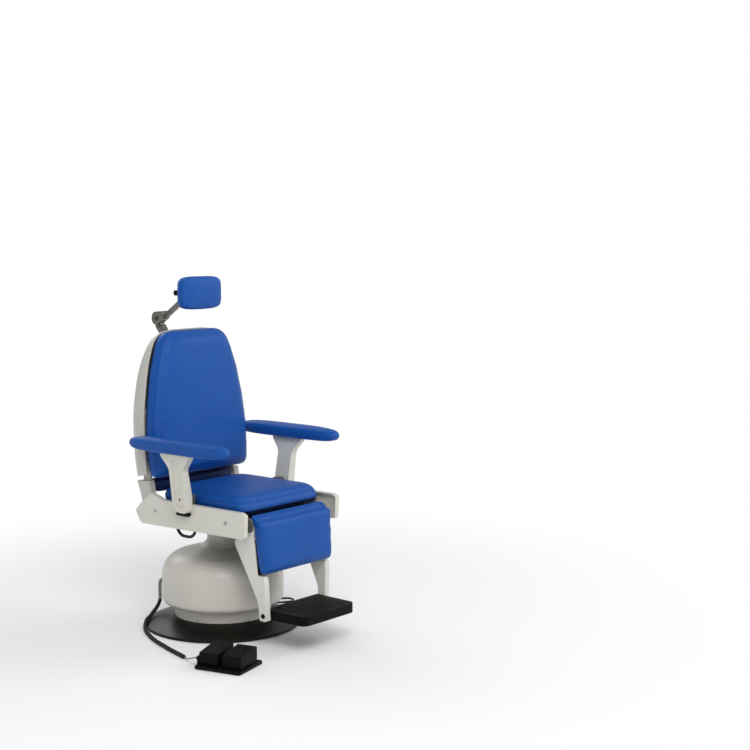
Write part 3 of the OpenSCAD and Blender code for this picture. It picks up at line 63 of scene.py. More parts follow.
lens = bpy.data.cameras.new("photo_view")
lens.lens = LENS_MM
lens.sensor_width = 36
camera = bpy.data.objects.new("photo_view", lens)
bpy.context.scene.collection.objects.link(camera)
camera.location = EYE
camera.rotation_euler = (math.radians(EYE_TILT), 0, math.radians(EYE_TURN))
bpy.context.scene.camera = camera
bpy.context.scene.view_settings.view_transform = "Standard"


def wire(tree, *links):
    """Joins pairs of sockets in a node tree, each given as (node, output name, node, input name)."""
    for source, out, target, into in links:
        tree.links.new(source.outputs[out], target.inputs[into])


surround = bpy.data.worlds.new("studio")
surround.use_nodes = True
bpy.context.scene.world = surround
sky = surround.node_tree
sky.nodes.clear()
ray = sky.nodes.new("ShaderNodeLightPath")
seen = sky.nodes.new("ShaderNodeMath")
seen.operation = "MAXIMUM"
soft = sky.nodes.new("ShaderNodeBackground")
soft.inputs["Color"].default_value = SKY_TINT
soft.inputs["Strength"].default_value = SKY_LEVEL
white = sky.nodes.new("ShaderNodeBackground")
white.inputs["Strength"].default_value = 1
white.inputs["Color"].default_value = (1, 1, 1, 1)
choose = sky.nodes.new("ShaderNodeMixShader")
end = sky.nodes.new("ShaderNodeOutputWorld")
wire(sky, (ray, "Is Camera Ray", seen, 0), (ray, "Is Transmission Ray", seen, 1), (seen, 0, choose, 0),
     (soft, 0, choose, 1), (white, 0, choose, 2), (choose, 0, end, "Surface"))

for name, place, size, power in LAMPS:
    lamp = bpy.data.lights.new(name, "AREA")
    lamp.size = size
    lamp.energy = power
    stand = bpy.data.objects.new(name, lamp)
    stand.location = place
    stand.rotation_euler = (Vector(place) - LAMP_AIM).to_track_quat("Z", "Y").to_euler()
    bpy.context.scene.collection.objects.link(stand)

bm = bmesh.new()
bmesh.ops.create_grid(bm, x_segments=1, y_segments=1, size=FLOOR_HALF)
sheet = bpy.data.meshes.new("floor")
bm.to_mesh(sheet)
bm.free()
floor = bpy.data.objects.new("floor", sheet)
bpy.context.scene.collection.objects.link(floor)
pale = bpy.data.materials.new("floor_white")
pale.use_nodes = True
tree = pale.node_tree
tree.nodes.clear()
where = tree.nodes.new("ShaderNodeTexCoord")
far = tree.nodes.new("ShaderNodeVectorMath")
far.operation = "LENGTH"
fade = tree.nodes.new("ShaderNodeMapRange")
fade.interpolation_type = "SMOOTHSTEP"
fade.inputs["From Min"].default_value = FLOOR_FADE_FROM
fade.inputs["From Max"].default_value = FLOOR_FADE_TO
ray = tree.nodes.new("ShaderNodeLightPath")
seen = tree.nodes.new("ShaderNodeMath")
seen.operation = "MAXIMUM"
only = tree.nodes.new("ShaderNodeMath")
only.operation = "MULTIPLY"
paint = tree.nodes.new("ShaderNodeBsdfDiffuse")
paint.inputs["Color"].default_value = (FLOOR_PAINT, FLOOR_PAINT, FLOOR_PAINT, 1)
glow = tree.nodes.new("ShaderNodeEmission")
choose = tree.nodes.new("ShaderNodeMixShader")
end = tree.nodes.new("ShaderNodeOutputMaterial")
wire(tree, (where, "Object", far, 0), (far, "Value", fade, "Value"), (ray, "Is Camera Ray", seen, 0),
     (ray, "Is Glossy Ray", seen, 1), (seen, 0, only, 0), (fade, 0, only, 1), (only, 0, choose, 0),
     (paint, 0, choose, 1), (glow, 0, choose, 2), (choose, 0, end, "Surface"))
sheet.materials.append(pale)

# Foot switch wire: a limp grey lead, 4.4 mm thick, from the gland at the rear of the pedestal through the
# guard and the conduit to the gland of the foot switch. The photograph shows it from end to end.
METRE = 1000
GLAND_AT = math.radians(112)
PEDESTAL_R = 0.246
GLAND_OUT = 0.018
GLAND_Z = 0.16
GUARD_WIRE_R = 0.0011
GUARD_BEND = 0.0186
GUARD_LOW = 0.075
GUARD_BEND_STEPS = 6
WIRE_THICK = 0.0044
WIRE_STEPS = 220
CONDUIT_POINTS = (
    (-106.3, 263, 75), (-109, 264.5, 63), (-119, 264, 49), (-137, 259, 38), (-162, 247, 31), (-194, 227, 27),
    (-233, 203, 25), (-261, 179, 20.5), (-286, 154.5, 14), (-314, 116, 9), (-338, 74, 8), (-359, 34, 8),
    (-376, -5, 8), (-391, -45, 8), (-404, -85, 8), (-418, -126, 8), (-430, -166, 8), (-441, -206, 8), (-454, -250, 8))
WIRE_POINTS = (
    (-457, -260, 8.2), (-465, -277, 10), (-473, -292, 13), (-480, -306, 17.5), (-484.5, -319, 22.5),
    (-485.5, -330, 26.5), (-483, -341, 29.2), (-480.1, -350, 30))


def smooth_route(points, steps):
    """A smooth route through given points."""
    points = [Vector(p) for p in points]
    route = []
    for i in range(len(points) - 1):
        a, b, c, d = points[max(i - 1, 0)], points[i], points[i + 1], points[min(i + 2, len(points) - 1)]
        for k in range(steps):
            t = k / steps
            bend = (2 * a - 5 * b + 4 * c - d) * t * t
            route.append((2 * b + (c - a) * t + bend + (3 * b - a - 3 * c + d) * t ** 3) / 2)
    return route + [points[-1]]


def even_route(points, count):
    """Points at even steps along a route."""
    run = [0.0]
    for a, b in zip(points, points[1:]):
        run.append(run[-1] + (b - a).length)
    even, at = [], 0
    for k in range(count + 1):
        far = run[-1] * k / count
        while at < len(points) - 2 and run[at + 1] < far:
            at += 1
        even.append(points[at].lerp(points[at + 1], min(1, (far - run[at]) / (run[at + 1] - run[at]))))
    return even


def piece(name, mesh, material, body, soft_edges=True):
    """A finished piece at the origin that rides on a body."""
    o = bpy.data.objects.new(name, mesh)
    bpy.context.scene.collection.objects.link(o)
    if material and not mesh.materials:
        mesh.materials.append(material)
    if mesh.id_type == "MESH" and soft_edges:
        mesh.shade_smooth()
    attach(o, body)
    return o


def lead(name, points, thick, material, body, closed=False):
    """A round cord or piping along a route."""
    line = bpy.data.curves.new(name, "CURVE")
    line.dimensions = "3D"
    line.bevel_depth = thick / 2
    line.bevel_resolution = 3
    line.use_fill_caps = True
    spline = line.splines.new("POLY")
    spline.points.add(len(points) - 1)
    spline.use_cyclic_u = closed
    for target, p in zip(spline.points, points):
        target.co = (*p, 1)
    return piece(name, line, material, body)


out_way = Vector((math.cos(GLAND_AT), math.sin(GLAND_AT), 0))
gland_mouth = out_way * PEDESTAL_R + Vector((0, 0, GLAND_Z))
guard_from = out_way * (PEDESTAL_R + GLAND_OUT + GUARD_WIRE_R) + Vector((0, 0, GLAND_Z))
guard_foot = guard_from + out_way * GUARD_BEND
guard_points = [guard_from + out_way * GUARD_BEND * math.sin(a) - Vector((0, 0, GUARD_BEND * (1 - math.cos(a))))
                for a in (math.radians(90 * i / GUARD_BEND_STEPS) for i in range(GUARD_BEND_STEPS + 1))]
guard_points += [Vector((guard_foot.x, guard_foot.y, guard_from.z - GUARD_BEND - GUARD_LOW / 4)),
                 Vector((guard_foot.x, guard_foot.y, GUARD_LOW))]
conduit_points = [Vector(p) / METRE for p in CONDUIT_POINTS]
wire_points = [Vector(p) / METRE for p in WIRE_POINTS]


def effect(name, inputs, outputs):
    """An empty shader node group with named inputs and outputs."""
    group = bpy.data.node_groups.new(name, "ShaderNodeTree")
    for label, value in inputs.items():
        kind = "NodeSocketColor" if isinstance(value, tuple) else "NodeSocketFloat"
        group.interface.new_socket(label, in_out="INPUT", socket_type=kind).default_value = value
    for label in outputs:
        kind = "NodeSocketColor" if label == "Colour" else "NodeSocketFloat"
        group.interface.new_socket(label, in_out="OUTPUT", socket_type=kind)
    return group, group.nodes.new("NodeGroupInput"), group.nodes.new("NodeGroupOutput")


def add(tree, kind, values=None, **settings):
    """A shader node with its settings and the values of its sockets."""
    made = tree.nodes.new("ShaderNode" + kind)
    for label, value in settings.items():
        setattr(made, label, value)
    for label, value in (values or {}).items():
        made.inputs[label].default_value = value
    return made


def finish(name, group, values, bump, **shader):
    """A material from one effect, with the shader's own constants."""
    made = bpy.data.materials.new(name)
    made.use_nodes = True
    tree = made.node_tree
    face = tree.nodes["Principled BSDF"]
    for label, value in shader.items():
        face.inputs[label.replace("_", " ")].default_value = value
    look = tree.nodes.new("ShaderNodeGroup")
    look.node_tree = group
    for label, value in values.items():
        look.inputs[label].default_value = value
    relief = add(tree, "Bump", {"Distance": bump, "Strength": 1.0})
    wire(tree, (look, "Colour", face, "Base Color"), (look, "Roughness", face, "Roughness"),
         (look, "Height", relief, "Height"), (relief, "Normal", face, "Normal"))
    return made


def srgb(r, g, b):
    """A colour as it is seen, from 0 to 255, as the shader's own values."""
    return tuple((v / 255 / 12.92 if v <= 10 else ((v / 255 + 0.055) / 1.055) ** 2.4) for v in (r, g, b)) + (1,)


# Moulded or painted skin: a colour that drifts a little, a fine orange peel, dust and rubbed patches.
skin, given, put = effect("moulded_skin", {
    "Colour": (0.8, 0.8, 0.8, 1), "Drift Colour": (0.7, 0.7, 0.7, 1), "Soil": 0.15, "Peel Scale": 420.0,
    "Gloss": 0.35, "Gloss Drift": 0.12}, ("Colour", "Roughness", "Height"))
where = add(skin, "TexCoord")
cloud = add(skin, "TexNoise", {"Scale": 3.0, "Detail": 4.0, "Roughness": 0.6})
smear = add(skin, "TexNoise", {"Scale": 14.0, "Detail": 6.0, "Roughness": 0.7, "Distortion": 1.2})
patch = add(skin, "MapRange", {"From Min": 0.5, "From Max": 0.78})
soil = add(skin, "Math", operation="MULTIPLY")
drift = add(skin, "Mix", data_type="RGBA")
dirt = add(skin, "Mix", data_type="RGBA")
peel = add(skin, "TexNoise", {"Detail": 2.0, "Roughness": 0.5})
shine = add(skin, "Math", operation="MULTIPLY_ADD")
wire(skin, (where, "Object", cloud, "Vector"), (where, "Object", smear, "Vector"), (where, "Object", peel, "Vector"),
     (given, "Peel Scale", peel, "Scale"), (smear, 0, patch, "Value"), (patch, 0, soil, 0), (given, "Soil", soil, 1),
     (cloud, 0, drift, "Factor"), (given, "Colour", drift, 6), (given, "Drift Colour", drift, 7),
     (soil, 0, dirt, "Factor"), (drift, 2, dirt, 6), (given, "Drift Colour", dirt, 7), (dirt, 2, put, "Colour"),
     (smear, 0, shine, 0), (given, "Gloss Drift", shine, 1), (given, "Gloss", shine, 2), (shine, 0, put, "Roughness"),
     (peel, 0, put, "Height"))

# Metal that is ground, rolled or plated: fine lines along one way, spots and a dulled film of oil.
metal, given, put = effect("worked_metal", {
    "Colour": (0.5, 0.5, 0.5, 1), "Dull Colour": (0.3, 0.3, 0.3, 1), "Lines": 900.0, "Gloss": 0.25, "Film": 0.3},
    ("Colour", "Roughness", "Height"))
where = add(metal, "TexCoord")
along = add(metal, "Mapping")
along.inputs["Scale"].default_value = (1, 1, 0.03)
lines = add(metal, "TexNoise", {"Detail": 3.0, "Roughness": 0.6})
spots = add(metal, "TexNoise", {"Scale": 25.0, "Detail": 5.0, "Roughness": 0.65})
dull = add(metal, "MapRange", {"From Min": 0.45, "From Max": 0.75})
tone = add(metal, "Mix", data_type="RGBA")
film = add(metal, "Math", operation="MULTIPLY")
shine = add(metal, "Math", operation="ADD")
wire(metal, (where, "Object", along, "Vector"), (along, 0, lines, "Vector"), (given, "Lines", lines, "Scale"),
     (where, "Object", spots, "Vector"), (spots, 0, dull, "Value"), (dull, 0, tone, "Factor"),
     (given, "Colour", tone, 6), (given, "Dull Colour", tone, 7), (tone, 2, put, "Colour"), (dull, 0, film, 0),
     (given, "Film", film, 1), (film, 0, shine, 0), (given, "Gloss", shine, 1), (shine, 0, put, "Roughness"),
     (lines, 0, put, "Height"))

# Upholstery vinyl: pebbled leather grain, slight shade changes and a sheen where it is sat on.
vinyl, given, put = effect("pebbled_vinyl", {
    "Colour": (0.02, 0.1, 0.36, 1), "Deep Colour": (0.01, 0.06, 0.25, 1), "Grain Scale": 620.0, "Gloss": 0.34,
    "Gloss Drift": 0.14}, ("Colour", "Roughness", "Height"))
where = add(vinyl, "TexCoord")
warp = add(vinyl, "TexNoise", {"Scale": 90.0, "Detail": 2.0})
bent = add(vinyl, "Mix", {"Factor": 0.012}, data_type="VECTOR")
pebble = add(vinyl, "TexVoronoi", feature="DISTANCE_TO_EDGE")
raised = add(vinyl, "MapRange", {"From Min": 0.0, "From Max": 0.28})
cloud = add(vinyl, "TexNoise", {"Scale": 7.0, "Detail": 5.0, "Roughness": 0.6})
depth = add(vinyl, "Math", {1: 0.75}, operation="MULTIPLY")
tone = add(vinyl, "Mix", data_type="RGBA")
shine = add(vinyl, "Math", operation="MULTIPLY_ADD")
wire(vinyl, (where, "Object", warp, "Vector"), (where, "Object", bent, 4), (warp, "Color", bent, 5),
     (bent, 1, pebble, "Vector"), (given, "Grain Scale", pebble, "Scale"), (pebble, "Distance", raised, "Value"),
     (where, "Object", cloud, "Vector"), (cloud, 0, depth, 0), (depth, 0, tone, "Factor"),
     (given, "Colour", tone, 6), (given, "Deep Colour", tone, 7), (tone, 2, put, "Colour"), (cloud, 0, shine, 0),
     (given, "Gloss Drift", shine, 1), (given, "Gloss", shine, 2), (shine, 0, put, "Roughness"),
     (raised, 0, put, "Height"))


def coat(material, *names):
    """Gives carried-over nodes their finish."""
    for name in names:
        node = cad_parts[name]
        if not node.material_slots:
            node.data.materials.append(material)
        for place in node.material_slots:
            place.material = material


wire_grey = finish("wire_grey", skin, {"Colour": srgb(92, 92, 90), "Drift Colour": srgb(70, 70, 68), "Gloss": 0.45},
                   0.0001)
guard_smooth = smooth_route(guard_points, 4)
whole_wire = even_route(smooth_route([gland_mouth] + guard_points + conduit_points[1:] + wire_points, 4),
                        WIRE_STEPS)
switch_wire = lead("switch_lead", whole_wire, WIRE_THICK, wire_grey, "root")

# Conduit: black corrugated polyamide hose, 16 mm outside, pushed on the wire between the guard and the switch.
RIB_PITCH = 0.0036
HOSE_R = 0.008
GROOVE_R = 0.0068
HOSE_BORE = 0.005
BORE_STEPS = 90
HOSE_STEPS = 200
HOSE_SIDES = 18
RIB_SHAPE = ((0.0, GROOVE_R), (0.18, GROOVE_R), (0.32, HOSE_R), (0.68, HOSE_R), (0.82, GROOVE_R))


def swept(bm, route):
    """Bends a straight tube along z onto a route without twisting it."""
    run = [0.0]
    for a, b in zip(route, route[1:]):
        run.append(run[-1] + (b - a).length)
    ways = [(route[min(i + 1, len(route) - 1)] - route[max(i - 1, 0)]).normalized() for i in range(len(route))]
    side = [ways[0].orthogonal().normalized()]
    for way in ways[1:]:
        side.append((side[-1] - way * side[-1].dot(way)).normalized())
    for v in bm.verts:
        far = min(max(v.co.z, 0), run[-1])
        i = min(int(step_at(run, far)), len(route) - 2)
        t = (far - run[i]) / (run[i + 1] - run[i])
        way = ways[i].lerp(ways[i + 1], t).normalized()
        u = side[i].lerp(side[i + 1], t)
        u = (u - way * u.dot(way)).normalized()
        v.co = route[i].lerp(route[i + 1], t) + u * v.co.x + way.cross(u) * v.co.y + way * (v.co.z - far)


def step_at(run, far):
    """The step of a route in which a length lies."""
    low, high = 0, len(run) - 1
    while high - low > 1:
        mid = (low + high) // 2
        low, high = (mid, high) if run[mid] <= far else (low, mid)
    return low


def outward(bm):
    """Turns the faces of a closed shape outwards."""
    bmesh.ops.recalc_face_normals(bm, faces=bm.faces)
    if bm.calc_volume(signed=True) < 0:
        bmesh.ops.reverse_faces(bm, faces=bm.faces)


hose_route = even_route(smooth_route(conduit_points, 6), HOSE_STEPS)
hose_long = sum((b - a).length for a, b in zip(hose_route, hose_route[1:]))
bm = bmesh.new()
profile = []
ribs = int(hose_long / RIB_PITCH)
for i in range(ribs):
    for share, r in RIB_SHAPE:
        profile.append((r, (i + share) * hose_long / ribs))
profile.append((GROOVE_R, hose_long))
profile += [(HOSE_BORE, hose_long * k / BORE_STEPS) for k in range(BORE_STEPS, -1, -1)]
verts = [bm.verts.new((r, 0, z)) for r, z in profile]
edges = [bm.edges.new(pair) for pair in zip(verts, verts[1:] + verts[:1])]
bmesh.ops.spin(bm, geom=verts + edges, cent=(0, 0, 0), axis=(0, 0, 1), angle=math.tau, steps=HOSE_SIDES,
               use_merge=True)
bmesh.ops.remove_doubles(bm, verts=bm.verts, dist=1e-6)
swept(bm, hose_route)
outward(bm)
mesh = bpy.data.meshes.new("conduit_hose")
bm.to_mesh(mesh)
bm.free()
hose_black = finish("hose_black", skin, {"Colour": srgb(9, 9, 9), "Drift Colour": srgb(22, 21, 20), "Gloss": 0.36,
                                         "Soil": 0.3}, 0.0001, Specular_IOR_Level=0.35)
hose = piece("conduit_hose", mesh, hose_black, "root")
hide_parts("conduit")

# Guard: close-wound spring of bright steel wire that keeps the wire from kinking where it leaves the gland.
GUARD_R = 0.007
GUARD_TURNS = 26
TURN_STEPS = 16
WIRE_SIDES = 8
GUARD_STEPS = 60
guard_route = even_route(guard_smooth, GUARD_STEPS)
guard_long = sum((b - a).length for a, b in zip(guard_route, guard_route[1:]))
bm = bmesh.new()
stand_up = Matrix.Translation((GUARD_R, 0, 0)) @ Matrix.Rotation(math.pi / 2, 4, "X")
ring = bmesh.ops.create_circle(bm, segments=WIRE_SIDES, radius=GUARD_WIRE_R, matrix=stand_up)["verts"]
coil_steps = GUARD_TURNS * TURN_STEPS
bmesh.ops.spin(bm, geom=ring + bm.edges[:], cent=(0, 0, 0), axis=(0, 0, 1), dvec=(0, 0, guard_long / coil_steps),
               angle=math.tau * GUARD_TURNS, steps=coil_steps)
rims = [e for e in bm.edges if e.is_boundary]
bmesh.ops.holes_fill(bm, edges=rims, sides=0)
swept(bm, guard_route)
outward(bm)
mesh = bpy.data.meshes.new("guard_spring")
bm.to_mesh(mesh)
bm.free()
spring_steel = finish("spring_steel", metal, {"Colour": srgb(176, 177, 178), "Dull Colour": srgb(118, 118, 118),
                                              "Gloss": 0.22}, 0.00003, Metallic=1.0)
guard = piece("guard_spring", mesh, spring_steel, "root")
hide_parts("cord_guard")
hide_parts("switch_wire")

# Base: a cast plate 630 mm across under a black powder coat, on a rubber mat, with the hoop of the brake
# pinned to its bracket at the skirt.
rubber = finish("mat_rubber", skin, {"Colour": srgb(14, 14, 13), "Drift Colour": srgb(28, 27, 26), "Gloss": 0.62,
                                     "Peel Scale": 900.0, "Soil": 0.3}, 0.0003, Specular_IOR_Level=0.3)
coated_black = finish("coated_black", skin, {"Colour": srgb(7, 6, 5), "Drift Colour": srgb(22, 18, 14),
                                             "Gloss": 0.24, "Gloss Drift": 0.2, "Peel Scale": 260.0, "Soil": 0.25},
                      0.0002, Specular_IOR_Level=0.22)
coat(rubber, "base_mat", "switch_feet")
coat(coated_black, "base_plate", "brake_bracket")

# Pedestal: a vacuum-formed shell of white plastic over the lift, a neck cover that travels with the column
# and a pale skirt ring held by six screws.
shell_white = finish("shell_white", skin, {"Colour": srgb(203, 199, 191), "Drift Colour": srgb(192, 187, 177),
                                           "Gloss": 0.3, "Gloss Drift": 0.16, "Peel Scale": 300.0, "Soil": 0.05},
                     0.00012, Coat_Weight=0.15, Coat_Roughness=0.25)
screw_steel = finish("screw_steel", metal, {"Colour": srgb(188, 188, 186), "Dull Colour": srgb(128, 126, 122),
                                            "Gloss": 0.24}, 0.00004, Metallic=1.0)
column_steel = finish("column_steel", metal, {"Colour": srgb(196, 197, 199), "Dull Colour": srgb(180, 180, 180),
                                              "Gloss": 0.12, "Film": 0.05, "Lines": 1400.0}, 0.00002, Metallic=1.0)
bronze = finish("bush_bronze", metal, {"Colour": srgb(168, 126, 72), "Dull Colour": srgb(110, 78, 44)}, 0.00004,
                Metallic=1.0)
frame_grey = finish("frame_grey", skin, {"Colour": srgb(96, 97, 98), "Drift Colour": srgb(74, 74, 74),
                                         "Gloss": 0.42, "Peel Scale": 350.0, "Soil": 0.3}, 0.0002)
black_plastic = finish("black_plastic", skin, {"Colour": srgb(5, 5, 5), "Drift Colour": srgb(13, 13, 12),
                                               "Gloss": 0.42, "Gloss Drift": 0.15, "Peel Scale": 1100.0,
                                               "Soil": 0.2}, 0.0002, Specular_IOR_Level=0.1)
coat(shell_white, "pedestal_shell", "neck_cover", "skirt_ring")
coat(screw_steel, "skirt_screws", "panel_screws", "pivot_pins", "actuator_rod", "lower_race", "upper_race",
     "back_cranks")
coat(column_steel, "column")
coat(bronze, "guide_bush")
coat(frame_grey, "guide_tube", "lift_motor", "seat_frame", "rail_left", "rail_right", "link_left", "link_right",
     "headrest_socket")
coat(black_plastic, "control_box", "power_inlet", "cord_gland", "switch_base", "up_treadle", "down_treadle",
     "latch_left", "latch_right", "headrest_bracket", "leg_board", "footplate")

# Side panels, arm posts and the legs of the leg rest: pressed and cast parts in cream-white gloss paint.
panel_white = finish("panel_white", skin, {"Colour": srgb(213, 211, 201), "Drift Colour": srgb(203, 200, 189),
                                           "Gloss": 0.26, "Gloss Drift": 0.14, "Peel Scale": 280.0, "Soil": 0.05},
                     0.00012, Coat_Weight=0.2, Coat_Roughness=0.2)
leg_white = finish("leg_white", skin, {"Colour": srgb(224, 222, 215), "Drift Colour": srgb(212, 209, 200),
                                       "Gloss": 0.3, "Soil": 0.15}, 0.00015, Coat_Weight=0.15)
shell_grey = finish("shell_grey", skin, {"Colour": srgb(199, 197, 190), "Drift Colour": srgb(188, 185, 177),
                                         "Gloss": 0.36, "Peel Scale": 520.0, "Soil": 0.05}, 0.00018)
coat(panel_white, "panel_left", "panel_right", "arm_post_left", "arm_post_right")
coat(leg_white, "leg_frame")
coat(shell_grey, "back_shell", "back_frame")

# Levers, headrest fittings and boards: rod dipped in black, a cast clamp with teeth, a ground steel bar.
lever_black = finish("lever_black", skin, {"Colour": srgb(9, 9, 9), "Drift Colour": srgb(22, 22, 21), "Gloss": 0.3,
                                           "Soil": 0.2}, 0.0002, Specular_IOR_Level=0.4)
knob_dark = finish("knob_dark", skin, {"Colour": srgb(52, 50, 47), "Drift Colour": srgb(74, 70, 64), "Gloss": 0.45,
                                       "Peel Scale": 900.0}, 0.0003)
bar_grey = finish("bar_grey", metal, {"Colour": srgb(124, 121, 116), "Dull Colour": srgb(72, 69, 65),
                                      "Gloss": 0.3}, 0.00005, Metallic=1.0)
# The back board: dark brown wood, made darker as painted shade for the shadow line along the cushion's edge.
board_wood = finish("board_wood", skin, {"Colour": srgb(52, 42, 33), "Drift Colour": srgb(34, 27, 21),
                                         "Gloss": 0.6, "Peel Scale": 160.0}, 0.0003)
coat(lever_black, "brake_lever", "recline_lever")
coat(knob_dark, "headrest_knob")
coat(bar_grey, "headrest_post", "headrest_arm")
coat(board_wood, "back_board")

# Seat cushion: foam under blue vinyl, sewn from a top panel and a boxed border with a welt between them.
VOXEL = 0.006
SIM_FRAMES = 18
SIDE_SWELL = 0.0035
PULLED_IN = 0.001
WELT = 0.0034
VINYL_STRETCH = 12
VINYL_BEND = 2.5
SMOOTH_PASSES = 4
WELT_PASSES = 6
vinyl_blue = finish("vinyl_blue", vinyl, {"Colour": srgb(16, 83, 165), "Deep Colour": srgb(9, 71, 149)}, 0.00022,
                    Coat_Weight=0.05, Coat_Roughness=0.3, Specular_IOR_Level=0.2)
# The blue vinyl darkened as painted shade, for the seat board and the lower pad, which lie in shadow under the
# cushions.
vinyl_dark = finish("vinyl_dark", vinyl, {"Colour": srgb(12, 40, 92), "Deep Colour": srgb(8, 30, 74)}, 0.00022,
                    Specular_IOR_Level=0.2)


def stuffed(name, node, body, material, rest, cap, shrink=0.001, pressure=4.0, voxel=VOXEL):
    """A stuffed cover blown up from the carried-over form of a cushion, and flat on the side of its board."""
    rest = Vector(rest)
    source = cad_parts[node]
    bm = bmesh.new()
    bm.from_mesh(source.data)
    bmesh.ops.remove_doubles(bm, verts=bm.verts, dist=1e-5)
    low, high = (Vector(p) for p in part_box(node))
    middle, size = (low + high) / 2, high - low
    bmesh.ops.translate(bm, verts=bm.verts, vec=-middle)
    bmesh.ops.scale(bm, verts=bm.verts, vec=Vector([1 - 2 * shrink / s for s in size]))
    bmesh.ops.translate(bm, verts=bm.verts, vec=middle)
    mesh = bpy.data.meshes.new(name)
    bm.to_mesh(mesh)
    bm.free()
    mesh.materials.clear()
    made = piece(name, mesh, material, body)
    remesh = made.modifiers.new("voxels", "REMESH")
    remesh.mode = "VOXEL"
    remesh.voxel_size = voxel
    baked(made)
    start = [(v.co.copy(), v.normal.copy()) for v in made.data.vertices]
    cloth = made.modifiers.new("stuffing", "CLOTH")
    cloth.settings.use_pressure = True
    cloth.settings.uniform_pressure_force = pressure
    cloth.settings.effector_weights.gravity = 0
    cloth.settings.tension_stiffness = VINYL_STRETCH
    cloth.settings.compression_stiffness = VINYL_STRETCH
    cloth.settings.bending_stiffness = VINYL_BEND
    cloth.point_cache.frame_end = SIM_FRAMES
    for step in range(1, SIM_FRAMES + 1):
        bpy.context.scene.frame_set(step)
    baked(made)
    bpy.context.scene.frame_set(1)
    held = []
    for v, (home, way) in zip(made.data.vertices, start):
        moved = v.co - home
        out = moved.dot(way)
        moved += way * (max(out, -PULLED_IN) - out)
        most = SIDE_SWELL + (cap - SIDE_SWELL) * max(0, -way.dot(rest))
        moved *= min(1, most / max(moved.length, 1e-9)) * min(1, max(0, 2 - 2 * way.dot(rest)))
        held.extend(home + moved)
    made.data.vertices.foreach_set("co", held)
    bm = bmesh.new()
    bm.from_mesh(made.data)
    for _ in range(SMOOTH_PASSES):
        bmesh.ops.smooth_vert(bm, verts=bm.verts, factor=0.5, use_axis_x=True, use_axis_y=True, use_axis_z=True)
    bm.to_mesh(made.data)
    bm.free()
    round_off = made.modifiers.new("round_off", "SUBSURF")
    round_off.levels = round_off.render_levels = 1
    baked(made)
    made.data.shade_smooth()
    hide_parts(node)
    return made


def baked(made):
    """Applies what the modifiers of a piece have made of it."""
    bpy.context.view_layer.update()
    shown = made.evaluated_get(bpy.context.evaluated_depsgraph_get())
    mesh = bpy.data.meshes.new_from_object(shown)
    old = made.data
    made.modifiers.clear()
    made.data = mesh
    if not mesh.materials and old.materials:
        mesh.materials.append(old.materials[0])
    bpy.data.meshes.remove(old)


def seam(made, at, normal, depth=0.0022, width=0.006, pucker=0.0005, inside=None):
    """Sinks a sewn line into a cover where a plane meets it, with the small puckers of the thread."""
    at, normal = Vector(at), Vector(normal).normalized()
    ways = [v.normal.copy() for v in made.data.vertices]
    points = [v.co.copy() for v in made.data.vertices]
    for p, way in zip(points, ways):
        far = (p - at).dot(normal)
        if abs(far) < 5 * width and (inside is None or inside(p)):
            pull = depth * math.exp(-(far / width) ** 2)
            pull += pucker * noise.noise(p * 75) * math.exp(-(far / (3 * width)) ** 2)
            p -= way * pull
    made.data.vertices.foreach_set("co", [c for p in points for c in p])
    made.data.update()


def welt(made, name, at, normal, body, thick=WELT, count=260):
    """A welt cord in the vinyl of the cover, all round it where a plane meets it."""
    at, normal = Vector(at), Vector(normal).normalized()
    bm = bmesh.new()
    bm.from_mesh(made.data)
    cut = bmesh.ops.bisect_plane(bm, geom=bm.verts[:] + bm.edges[:] + bm.faces[:], plane_co=at,
                                 plane_no=normal)
    ends = {}
    for e in cut["geom_cut"]:
        if isinstance(e, bmesh.types.BMEdge):
            for v in e.verts:
                ends.setdefault(v, []).append(e.other_vert(v))
    best = []
    while ends:
        here = next(iter(ends))
        loop = [here]
        while True:
            onward = [v for v in ends.pop(loop[-1], []) if v in ends]
            if not onward:
                break
            loop.append(onward[0])
        if len(loop) > len(best):
            best = loop
    points = [v.co.copy() for v in best]
    bm.free()
    for _ in range(WELT_PASSES):
        points = [(points[i - 1] + points[i] + points[(i + 1) % len(points)]) / 3 for i in range(len(points))]
    points = even_route(points + points[:1], count)[:-1]
    cord = lead(name, points, thick, made.data.materials[0], body, closed=True)
    return cord


SEAT_WELT_Z = 0.5605
# The seat board takes the blue vinyl darkened as painted shade, for the shadow under the seat cushion.
coat(vinyl_dark, "seat_board")
seat = stuffed("seat_cover", "seat_cushion", "seat", vinyl_blue, (0, 0, -1), 0.008)
seam(seat, (0, 0, SEAT_WELT_Z), (0, 0, 1))
welt(seat, "seat_welt", (0, 0, SEAT_WELT_Z), (0, 0, 1), "seat", count=420)

# Flap under the seat: a black pressed strip under the front of the seat board that closes the view into the frame; it
# is painted shade, a black sheet put in the shadowed gap between the seat board and the leg cushion.
FLAP_HALF = 0.155
FLAP_Y = -0.303
FLAP_T = 0.002
FLAP_LOW = 0.468
FLAP_TOP = 0.508
FLAP_CORNER = 0.012
bm = bmesh.new()
bmesh.ops.create_cube(bm, size=1)
bmesh.ops.scale(bm, verts=bm.verts, vec=(2 * FLAP_HALF, FLAP_T, FLAP_TOP - FLAP_LOW))
bmesh.ops.translate(bm, verts=bm.verts, vec=(0, FLAP_Y, (FLAP_TOP + FLAP_LOW) / 2))
low_corners = [e for e in bm.edges if abs(e.verts[0].co.y - e.verts[1].co.y) > FLAP_T / 2
               and e.verts[0].co.z < FLAP_LOW + 0.001]
bmesh.ops.bevel(bm, geom=low_corners, offset=FLAP_CORNER, segments=5, affect="EDGES", profile=0.5, material=-1)
bmesh.ops.bevel(bm, geom=bm.edges[:], offset=0.0005, segments=2, affect="EDGES", profile=0.5, material=-1)
mesh = bpy.data.meshes.new("shade_flap")
bm.to_mesh(mesh)
bm.free()
flap = piece("shade_flap", mesh, black_plastic, "seat", soft_edges=False)

